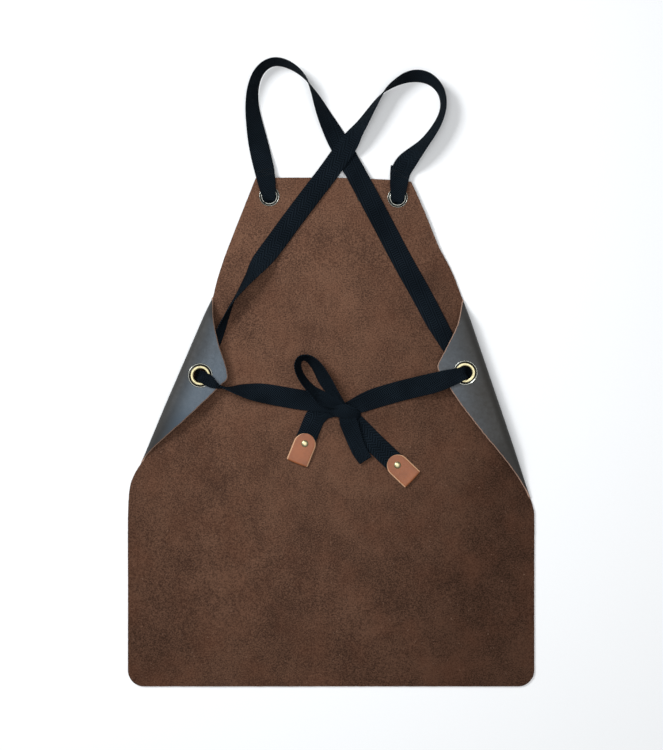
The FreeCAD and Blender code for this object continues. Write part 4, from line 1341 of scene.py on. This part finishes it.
class APRON_OT_bow(bpy.types.Operator):
    """Makes the bow: its wrap and two loops"""

    bl_idname = "apron.bow"
    bl_label = "Bow"

    def execute(self, context):
        wrap = webbing("bow_wrap", KNOT_WRAP, cup=-0.06)[0]
        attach(wrap, "apron_body")
        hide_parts("bow_knot")

        upper, upper_line = webbing("bow_upper_loop", UPPER_LOOP)
        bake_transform(upper)
        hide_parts("upper_bow_loop")

        upper_ply = [(x, y, high, heading, width) for x, y, heading, high, low, width in LOWER_LOOP]
        lower_ply = [(x, y, low, heading, width) for x, y, heading, high, low, width in LOWER_LOOP]
        x, y, heading, z, width = LOWER_BEND
        plies = upper_ply + [(x, y, z, heading, width)] + lower_ply[::-1]
        turns = [math.radians(heading) for x, y, z, heading, width in plies]
        across = [Vector((-math.sin(turn), math.cos(turn), 0)) for turn in turns]
        lower = webbing("bow_lower_loop", plies, across=across, cup=0.0)[0]
        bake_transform(lower)
        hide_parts("lower_bow_loop")

        return {"FINISHED"}


class APRON_OT_hide(bpy.types.Operator):
    """Makes the hide: the middle and the two folded corners"""

    bl_idname = "apron.hide"
    bl_label = "Hide"

    def execute(self, context):
        settings = context.scene.apron_hide
        suede = material_named("buffed_split_suede")
        grain = material_named("waxed_grain_leather")
        cut = material_named("knife_cut_hide_edge")
        for side, fold in folds(settings):
            self.corner(side, fold, [grain, suede, cut])
        panel = self.panel(settings, [suede, grain, cut])
        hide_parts("body_panel")
        return {"FINISHED"}

    def outline(self, settings):
        """Plan outline of the middle of the hide, which stops at each fold's foot."""
        step = settings.edge_step
        inner_x = HALF_WIDTH - HEM_RADIUS
        inner_y = HEM_Y + HEM_RADIUS
        (_, left), (_, right) = folds(settings)
        left_foot = self.fold_foot(left, step)
        right_foot = self.fold_foot(right, step)
        # The bib's right corner is cut a little round.
        corner_foot = (BIB_RIGHT[0] + 0.002, BIB_RIGHT[1] - BIB_CORNER)
        corner_middle = (BIB_RIGHT[0] - 0.0006, BIB_RIGHT[1] - 0.0014)
        corner_end = (BIB_RIGHT[0] - BIB_CORNER, BIB_RIGHT[1])
        runs = [
            through([(-inner_x, HEM_Y), (0.0, HEM_Y), (inner_x, HEM_Y)], step),
            round_corner((inner_x, inner_y), HEM_RADIUS, 270, 360, step),
            through([(HALF_WIDTH, inner_y), (HALF_WIDTH, -0.24), (HALF_WIDTH, SIDE_TOP_Y),
                     (0.2985, -0.112), right_foot[-1]], step),
            list(reversed(right_foot)),
            through([right_foot[0], (0.178, 0.238), (0.158, 0.276), (0.140, 0.320), corner_foot,
                     corner_middle, corner_end], step),
            through([corner_end, (0.080, 0.3727), (0.020, 0.3750), (-0.050, 0.3756), BIB_LEFT], step),
            through([BIB_LEFT, (-0.133, 0.320), (-0.1555, 0.263), (-0.167, 0.229), left_foot[0]], step),
            left_foot,
            through([left_foot[-1], (-0.291, -0.063), (-0.2975, -0.084), (-HALF_WIDTH, SIDE_TOP_Y),
                     (-HALF_WIDTH, -0.24), (-HALF_WIDTH, inner_y)], step),
            round_corner((-inner_x, inner_y), HEM_RADIUS, 180, 270, step),
        ]
        closest = 0.0004
        outline = []
        for run in runs:
            for point in run:
                if not outline or (Vector(point) - Vector(outline[-1])).length > closest:
                    outline.append(point)
        return outline

    def fold_foot(self, fold, step):
        """Plan points where the leather leaves the floor to turn over."""
        count = max(4, round(fold.length / step))
        places = []
        for i in range(count + 1):
            v = fold.length * i / count
            point = fold.point(fold.foot(v), v, 0)
            places.append((point.x, point.y))
        return places

    def dip(self, settings, near_folds, x, y):
        """How far the relaxed hide dips at a plan point.

        It stays level near the folds, under the bow and on the bib, where other pieces lie on it.
        """
        waves = [plan_noise(x, y, rate, layer) * share for rate, layer, share in (SLOW_WAVE, QUICK_WAVE)]
        wave = waves[0] + waves[1]
        hold = 1.0 - smooth((y - HELD_ABOVE) / HELD_FADE_Y)
        for _, fold in near_folds:
            u, v = fold.local(x, y)
            if -FOLD_HOLD < v < fold.length + FOLD_HOLD:
                hold *= smooth((u - fold.radius(v)) / FOLD_HOLD)
        from_bow = math.hypot(x - BOW_HOLD_CENTRE[0], (y - BOW_HOLD_CENTRE[1]) * 0.8)
        hold *= smooth((from_bow - BOW_HOLD_RADIUS) / BOW_HOLD_FADE)
        return -settings.relaxed * hold * (0.5 + 0.5 * max(-1.0, min(1.0, wave * 1.6)))

    def panel(self, settings, materials):
        """The middle of the hide, flat on the floor and lifted at the bib."""
        outline = self.outline(settings)
        near_folds = folds(settings)
        foot_points = {p for _, fold in near_folds for p in self.fold_foot(fold, settings.edge_step)}
        nicked = []
        count = len(outline)
        for i, point in enumerate(outline):
            if point in foot_points:
                nicked.append(Vector(point))
                continue
            along = Vector(outline[(i + 1) % count]) - Vector(outline[i - 1])
            inward = Vector((-along.y, along.x)).normalized()
            wander = plan_noise(*point, 220, 1.0)
            fine = plan_noise(*point, 700, 4.0)
            nicked.append(Vector(point) + inward * settings.nick * (0.35 + 0.35 * wander + 0.3 * fine))
        holes = [plan_centre(side + "_chest_eyelet") for side in ("left", "right")]
        loops = [nicked]
        for hole in holes:
            loops.append([Vector(p) for p in round_corner(hole, CHEST_HOLE, 0, 345, 0.0028)])
        points = []
        edges = []
        for loop in loops:
            base = len(points)
            points += loop
            edges += [(base + i, base + (i + 1) % len(loop)) for i in range(len(loop))]
        step = settings.mesh_step
        rows = round(HIDE_LENGTH / (step * ROW_SHARE))
        for j in range(rows + 1):
            y = HEM_Y + j * step * ROW_SHARE
            crossings = sorted(self.crossings(nicked, y))
            for enter, leave in zip(crossings[::2], crossings[1::2]):
                first = math.ceil((enter + step * 0.5) / step)
                final = math.floor((leave - step * 0.5) / step)
                for i in range(first, final + 1):
                    x = i * step + (step / 2 if j % 2 else 0.0)
                    from_hole = min(math.hypot(x - h[0], y - h[1]) for h in holes)
                    clear = from_hole > CHEST_HOLE + step * 0.4
                    if enter + step * 0.45 < x < leave - step * 0.45 and clear:
                        points.append(Vector((x, y)))
        placed, _, faces, _, _, _ = delaunay_2d_cdt(points, edges, [], 1, 1e-7)
        kept = []
        for face in faces:
            middle = sum((placed[i] for i in face), Vector((0, 0))) / len(face)
            if all(math.hypot(middle.x - h[0], middle.y - h[1]) > CHEST_HOLE * 0.97 for h in holes):
                kept.append(list(face))
        tops = []
        for p in placed:
            tops.append(Vector((p.x, p.y, panel_top(p.y) + self.dip(settings, near_folds, p.x, p.y))))
        backs = [p - UP * settings.thickness for p in tops]
        piece = leather_shell("hide_middle", *trimmed(tops, backs, kept), materials)
        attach(piece, "apron_body")
        return piece

    def crossings(self, loop, y):
        """Where a closed plan outline crosses a level."""
        found = []
        for a, b in zip(loop, loop[1:] + loop[:1]):
            if (a.y > y) != (b.y > y):
                found.append(a.x + (b.x - a.x) * (y - a.y) / (b.y - a.y))
        return found

    def corner(self, side, fold, materials):
        """A folded corner, from the fold's foot round to its cut edge."""
        settings = fold.settings
        columns = round(fold.length / settings.edge_step)
        rows = FOLD_ROWS
        outer = []
        inner = []
        for i in range(columns + 1):
            v = fold.length * i / columns
            reach = fold.reach(v)
            place = fold.start + fold.along * v
            wander = plan_noise(place.x, place.y, 240, 8.0)
            fine = plan_noise(place.x, place.y, 800, 3.0)
            reach -= settings.nick * (0.5 + 0.8 * wander + 0.9 * fine) * smooth(v / 0.01)
            for j in range(rows + 1):
                short = max(0.0, reach - settings.skive * fold.end_fade(v))
                outer.append(fold.faces_at(v, short * j / rows)[0])
                inner.append(fold.faces_at(v, reach * j / rows)[1])
        eyelet = Vector((*plan_centre(side + "_waist_eyelet"), 0))
        faces = []
        for i in range(columns):
            for j in range(rows):
                a = i * (rows + 1) + j
                b = a + rows + 1
                middle = (outer[a] + outer[b] + outer[a + 1] + outer[b + 1]) / 4
                over = middle.z > fold.radius(fold.length * i / columns)
                if over and (middle.xy - eyelet.xy).length < WAIST_HOLE:
                    continue
                faces.append([a, a + 1, b + 1, b] if side == "left" else [a, b, b + 1, a + 1])
        piece = leather_shell("hide_" + side + "_corner", *trimmed(outer, inner, faces), materials)
        # The band along the fold where the grain is painted darker as shade.
        fold_shade = piece.data.attributes.new("fold_shade", "FLOAT", "POINT")
        for vertex in piece.data.vertices:
            inward = fold.local(vertex.co.x, vertex.co.y)[0]
            fold_shade.data[vertex.index].value = 1.0 - smooth((inward - FOLD_SHADE_FROM) / FOLD_SHADE_REACH[side])
        start = fold.point(fold.settings.fold_radius, fold.length / 2, 0.0)
        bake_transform(piece)
        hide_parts(side + "_flap")
        return piece


class APRON_OT_eyelets(bpy.types.Operator):
    """Makes the chest and waist eyelets with their washers"""

    bl_idname = "apron.eyelets"
    bl_label = "Eyelets"

    def execute(self, context):
        settings = context.scene.apron_hide
        segments = context.scene.apron_trim.segments
        nickel = material_named("bright_nickel_plate")
        brass = material_named("pale_brass_plate")
        groove_shade = material_named("dark_groove_plate")
        for side in ("left", "right"):
            place = standing_at(*plan_centre(side + "_chest_eyelet"), BIB_LIFT)
            for node, profile in (("_chest_eyelet", CHEST_LIP), ("_chest_washer", CHEST_WASHER)):
                # The washer's groove is painted near-black as shade.
                in_groove = [12.4 < r < 14.0 and z < 2.6 for r, z in profile]
                grooved = [int(inside) for inside in in_groove]
                piece = turned_piece(
                    side + node + "_plated", profile, [nickel, groove_shade], place, grooved, segments)
                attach(piece, "apron_body")
                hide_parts(side + node)
        # Slots: 2 is the groove, painted near-black as shade; 1 the nickel rim outside it, a painted
        # highlight on the flange's edge; 0 the brass.
        rim = [2 if 14.5 < r < 16.0 else 1 if r > 15.6 else 0 for r, z in WAIST_FLANGE]
        for side, fold in folds(settings):
            x, y = plan_centre(side + "_waist_eyelet")
            place = standing_at(x, y, fold.top(x, y), fold.normal())
            for node, profile, slots, materials in (
                ("_waist_eyelet", WAIST_FLANGE, rim, [brass, nickel, groove_shade]),
                ("_waist_washer", WAIST_WASHER, None, [nickel]),
            ):
                face_slots = slots[::-1] if slots else None
                piece = turned_piece(
                    side + node + "_plated", profile[::-1], materials, place, face_slots, segments)
                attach(piece, side + "_corner")
                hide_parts(side + node)
        return {"FINISHED"}


class APRON_OT_tips(bpy.types.Operator):
    """Makes the leather strap tips with their rivets"""

    bl_idname = "apron.tips"
    bl_label = "Strap tips"

    def execute(self, context):
        tan = material_named("oiled_tan_leather")
        edge = material_named("knife_cut_tan_edge")
        brass = material_named("pale_brass_plate")
        segments = context.scene.apron_trim.segments
        for side, (end, heading) in (("left", LEFT_TIP), ("right", RIGHT_TIP)):
            body = side + "_tail_end"
            place = Matrix.Translation((*end, 0)) @ Matrix.Rotation(heading, 4, "Z")
            tip = self.folded_strip(side, place, [tan, edge, edge])
            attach(tip, body)
            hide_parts(side + "_tail_tip")
            x, y = plan_centre(side + "_tip_rivet_cap")
            for name, profile, node in (
                ("_tip_cap", TIP_DOME[::-1], "_tip_rivet_cap"),
                ("_tip_post", TIP_POST, "_tip_rivet_post"),
            ):
                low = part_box(side + node)[0].z
                piece = turned_piece(side + name, profile, [brass], standing_at(x, y, low),
                                     segments=segments, off_axis=OFF_AXIS)
                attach(piece, body)
                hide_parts(side + node)
        return {"FINISHED"}

    def folded_strip(self, side, place, materials):
        """A strip folded round the strap's end, with both its ends cut round."""
        half = TIP_WIDTH / 2
        outer_radius = (2 * TIP_LEATHER + TIP_GAP) / 2
        centre_z = TIP_FOOT + outer_radius
        flat_run = TIP_LENGTH - outer_radius
        whole = 2 * flat_run + math.pi * outer_radius
        outer = []
        inner = []
        for i in range(TIP_ROWS + 1):
            run = whole * i / TIP_ROWS
            from_end = min(run, whole - run) + CUT_BULGE
            reach = half
            if from_end <= half:
                reach = math.sqrt(max(1e-9, half ** 2 - (half - from_end) ** 2))
            wander = noise.noise(Vector((run * 420, len(side), 0))) * TIP_WANDER
            for j in range(TIP_COLUMNS + 1):
                share = j / TIP_COLUMNS * 2 - 1
                y = share * (reach + wander * (1 if share > 0 else -1))
                face_y = y * (1 - TIP_SKIVE / half)
                if run < flat_run:
                    at = Vector((-TIP_LENGTH + run, 0, centre_z + outer_radius))
                    normal = UP
                elif run < flat_run + math.pi * outer_radius:
                    turned = (run - flat_run) / outer_radius
                    normal = Vector((math.sin(turned), 0, math.cos(turned)))
                    at = Vector((-outer_radius, 0, centre_z)) + normal * outer_radius
                else:
                    back = run - flat_run - math.pi * outer_radius
                    at = Vector((-outer_radius - back, 0, centre_z - outer_radius))
                    normal = -UP
                curl = normal * (TIP_CURL * share * share)
                inset = Vector((min(TIP_SKIVE, 0.5 * from_end) * (1 if run < whole / 2 else 0), 0, 0))
                outer.append(place @ (at - curl + Vector((0, face_y, 0)) + (inset if i == 0 else Vector())))
                inner.append(place @ (at - curl - normal * TIP_LEATHER + Vector((0, y, 0))))
        faces = []
        ring = TIP_COLUMNS + 1
        for i in range(TIP_ROWS):
            for j in range(TIP_COLUMNS):
                a = i * ring + j
                faces.append([a, a + ring, a + ring + 1, a + 1])
        return leather_shell(side + "_tip_leather", outer, inner, faces, materials)


class APRON_OT_patch(bpy.types.Operator):
    """Makes the front patch and its rivets"""

    bl_idname = "apron.patch"
    bl_label = "Front patch"

    def execute(self, context):
        segments = context.scene.apron_trim.segments
        nickel = material_named("bright_nickel_plate")
        low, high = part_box("front_patch")
        corner = PATCH_CORNER
        outline = []
        for cx, cy, start in (
            (high.x - corner, low.y + corner, 270), (high.x - corner, high.y - corner, 0),
            (low.x + corner, high.y - corner, 90), (low.x + corner, low.y + corner, 180),
        ):
            outline += round_corner((cx, cy), corner, start, start + 90, 0.001)
        middle = Vector(((low.x + high.x) / 2, (low.y + high.y) / 2))
        points = []
        for share in PATCH_RINGS:
            points += [middle + (Vector(p) - middle) * share for p in outline]
        points.append(middle)
        count = len(outline)
        faces = []
        inner = (len(PATCH_RINGS) - 1) * count
        for base in range(0, inner, count):
            for i in range(count):
                a = base + i
                b = base + (i + 1) % count
                faces.append([a, b, b + count, a + count])
        hub = len(points) - 1
        faces += [[inner + i, inner + (i + 1) % count, hub] for i in range(count)]
        tops = [Vector((p.x, p.y, high.z - PATCH_CLEARANCE)) for p in points]
        backs = [Vector((p.x, p.y, low.z)) for p in points]
        patch = leather_shell("front_patch_leather", tops, backs, faces, [
            material_named("buffed_split_suede"), material_named("waxed_grain_leather"),
            material_named("knife_cut_hide_edge"),
        ])
        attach(patch, "apron_body")
        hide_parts("front_patch")
        cap_low, cap_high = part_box("patch_rivet_caps")
        reach = (cap_high.y - cap_low.y) / 2
        y = (cap_low.y + cap_high.y) / 2
        post_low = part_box("patch_rivet_posts")[0].z
        made = {}
        for i, x in enumerate((cap_low.x + reach, cap_high.x - reach)):
            for kind, profile, z in (("cap", PATCH_DOME[::-1], cap_low.z), ("post", PATCH_POST, post_low)):
                piece = turned_piece(f"patch_rivet_{kind}_{i + 1}", profile, [nickel],
                                     standing_at(x, y, z), segments=segments, off_axis=OFF_AXIS)
                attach(piece, "apron_body")
                made.setdefault(kind, []).append(piece)
        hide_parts("patch_rivet_caps")
        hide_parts("patch_rivet_posts")
        return {"FINISHED"}


class APRON_OT_stitches(bpy.types.Operator):
    """Sews each strap back on itself in front of the bib"""

    bl_idname = "apron.stitches"
    bl_label = "Stitches"

    def execute(self, context):
        tree = stitch_tree()
        thread = material_named("waxed_black_thread")
        for side, strap in (("left", LEFT_STRAP), ("right", RIGHT_STRAP)):
            centre = Vector(strap[OVER_EDGE][:2])
            way = (Vector(strap[OVER_EDGE + 1][:2]) - centre).normalized()
            across = Vector((-way.y, way.x))
            # Round the box, then back across it.
            corners = (
                (SEAM_START, -SEAM_HALF), (SEAM_END, -SEAM_HALF), (SEAM_END, SEAM_HALF),
                (SEAM_START, SEAM_HALF), (SEAM_START, -SEAM_HALF), (SEAM_END, SEAM_HALF),
            )
            points = []
            for run, offset in corners:
                place = centre + way * (run - SEAM_BACK) + across * offset
                fall = SEAM_FALL * max(0.0, place.y - SEAM_FALL_Y)
                points.append((place.x, place.y, SEAM_TOP - SEAM_SINK - fall))
            edges = [(i, i + 1) for i in range(len(points) - 1)]
            values = {"Pitch": 0.0032, "Length": 0.0025, "Thread": 0.0008, "Material": thread}
            seam = grown(side + "_strap_seam", points, edges, [], tree, values)
            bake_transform(seam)
        return {"FINISHED"}


class APRON_OT_fluff(bpy.types.Operator):
    """Scatters loose hide fibre over the suede"""

    bl_idname = "apron.fluff"
    bl_label = "Loose fibre"

    def execute(self, context):
        tree = fluff_tree()
        rooted = 0.0004
        z = panel_top(0.0) - rooted
        corners = [(x, y, z) for x, y in FIBRE_OUTLINE]
        values = {"Density": 500.0, "Length": 0.0026, "Fibre": 0.00012, "Seed": 11,
                  "Material": material_named("loose_hide_fibre")}
        grown("suede_loose_fibre", corners, [], [list(range(len(corners)))], tree, values, "apron_body")
        return {"FINISHED"}


# ---------------------------------------------------------------- panel and run


class APRON_PT_sidebar(bpy.types.Panel):
    """Lists the apron's builders and settings"""

    bl_idname = "APRON_PT_sidebar"
    bl_label = "Leather apron"
    bl_space_type = "VIEW_3D"
    bl_region_type = "UI"
    bl_category = "Apron"

    def draw(self, context):
        for operator in OPERATORS:
            self.layout.operator(operator.bl_idname)
        for name in SETTINGS:
            box = self.layout.box()
            group = getattr(context.scene, name)
            for field in group.__annotations__:
                box.prop(group, field)


OPERATORS = (
    APRON_OT_stage, APRON_OT_straps, APRON_OT_tips, APRON_OT_waist_ties, APRON_OT_bow, APRON_OT_hide,
    APRON_OT_eyelets, APRON_OT_patch, APRON_OT_stitches, APRON_OT_fluff,
)
SETTINGS = {
    "apron_hide": ApronHideSettings,
    "apron_webbing": ApronWebbingSettings,
    "apron_trim": ApronTrimSettings,
    "apron_stage": ApronStageSettings,
}


def register():
    """Registers the settings, the operators and the panel."""
    for name, group in SETTINGS.items():
        bpy.utils.register_class(group)
        setattr(bpy.types.Scene, name, PointerProperty(type=group))
    for operator in OPERATORS:
        bpy.utils.register_class(operator)
    bpy.utils.register_class(APRON_PT_sidebar)


def unregister():
    """Takes everything out again."""
    bpy.utils.unregister_class(APRON_PT_sidebar)
    for operator in reversed(OPERATORS):
        bpy.utils.unregister_class(operator)
    for name, group in SETTINGS.items():
        delattr(bpy.types.Scene, name)
        bpy.utils.unregister_class(group)


def main():
    """Builds every visible piece."""
    register()
    bpy.ops.apron.stage()
    bpy.ops.apron.straps()
    bpy.ops.apron.tips()
    bpy.ops.apron.waist_ties()
    bpy.ops.apron.bow()
    bpy.ops.apron.hide()
    bpy.ops.apron.eyelets()
    bpy.ops.apron.patch()
    bpy.ops.apron.stitches()
    bpy.ops.apron.fluff()


if __name__ == "__main__":
    main()
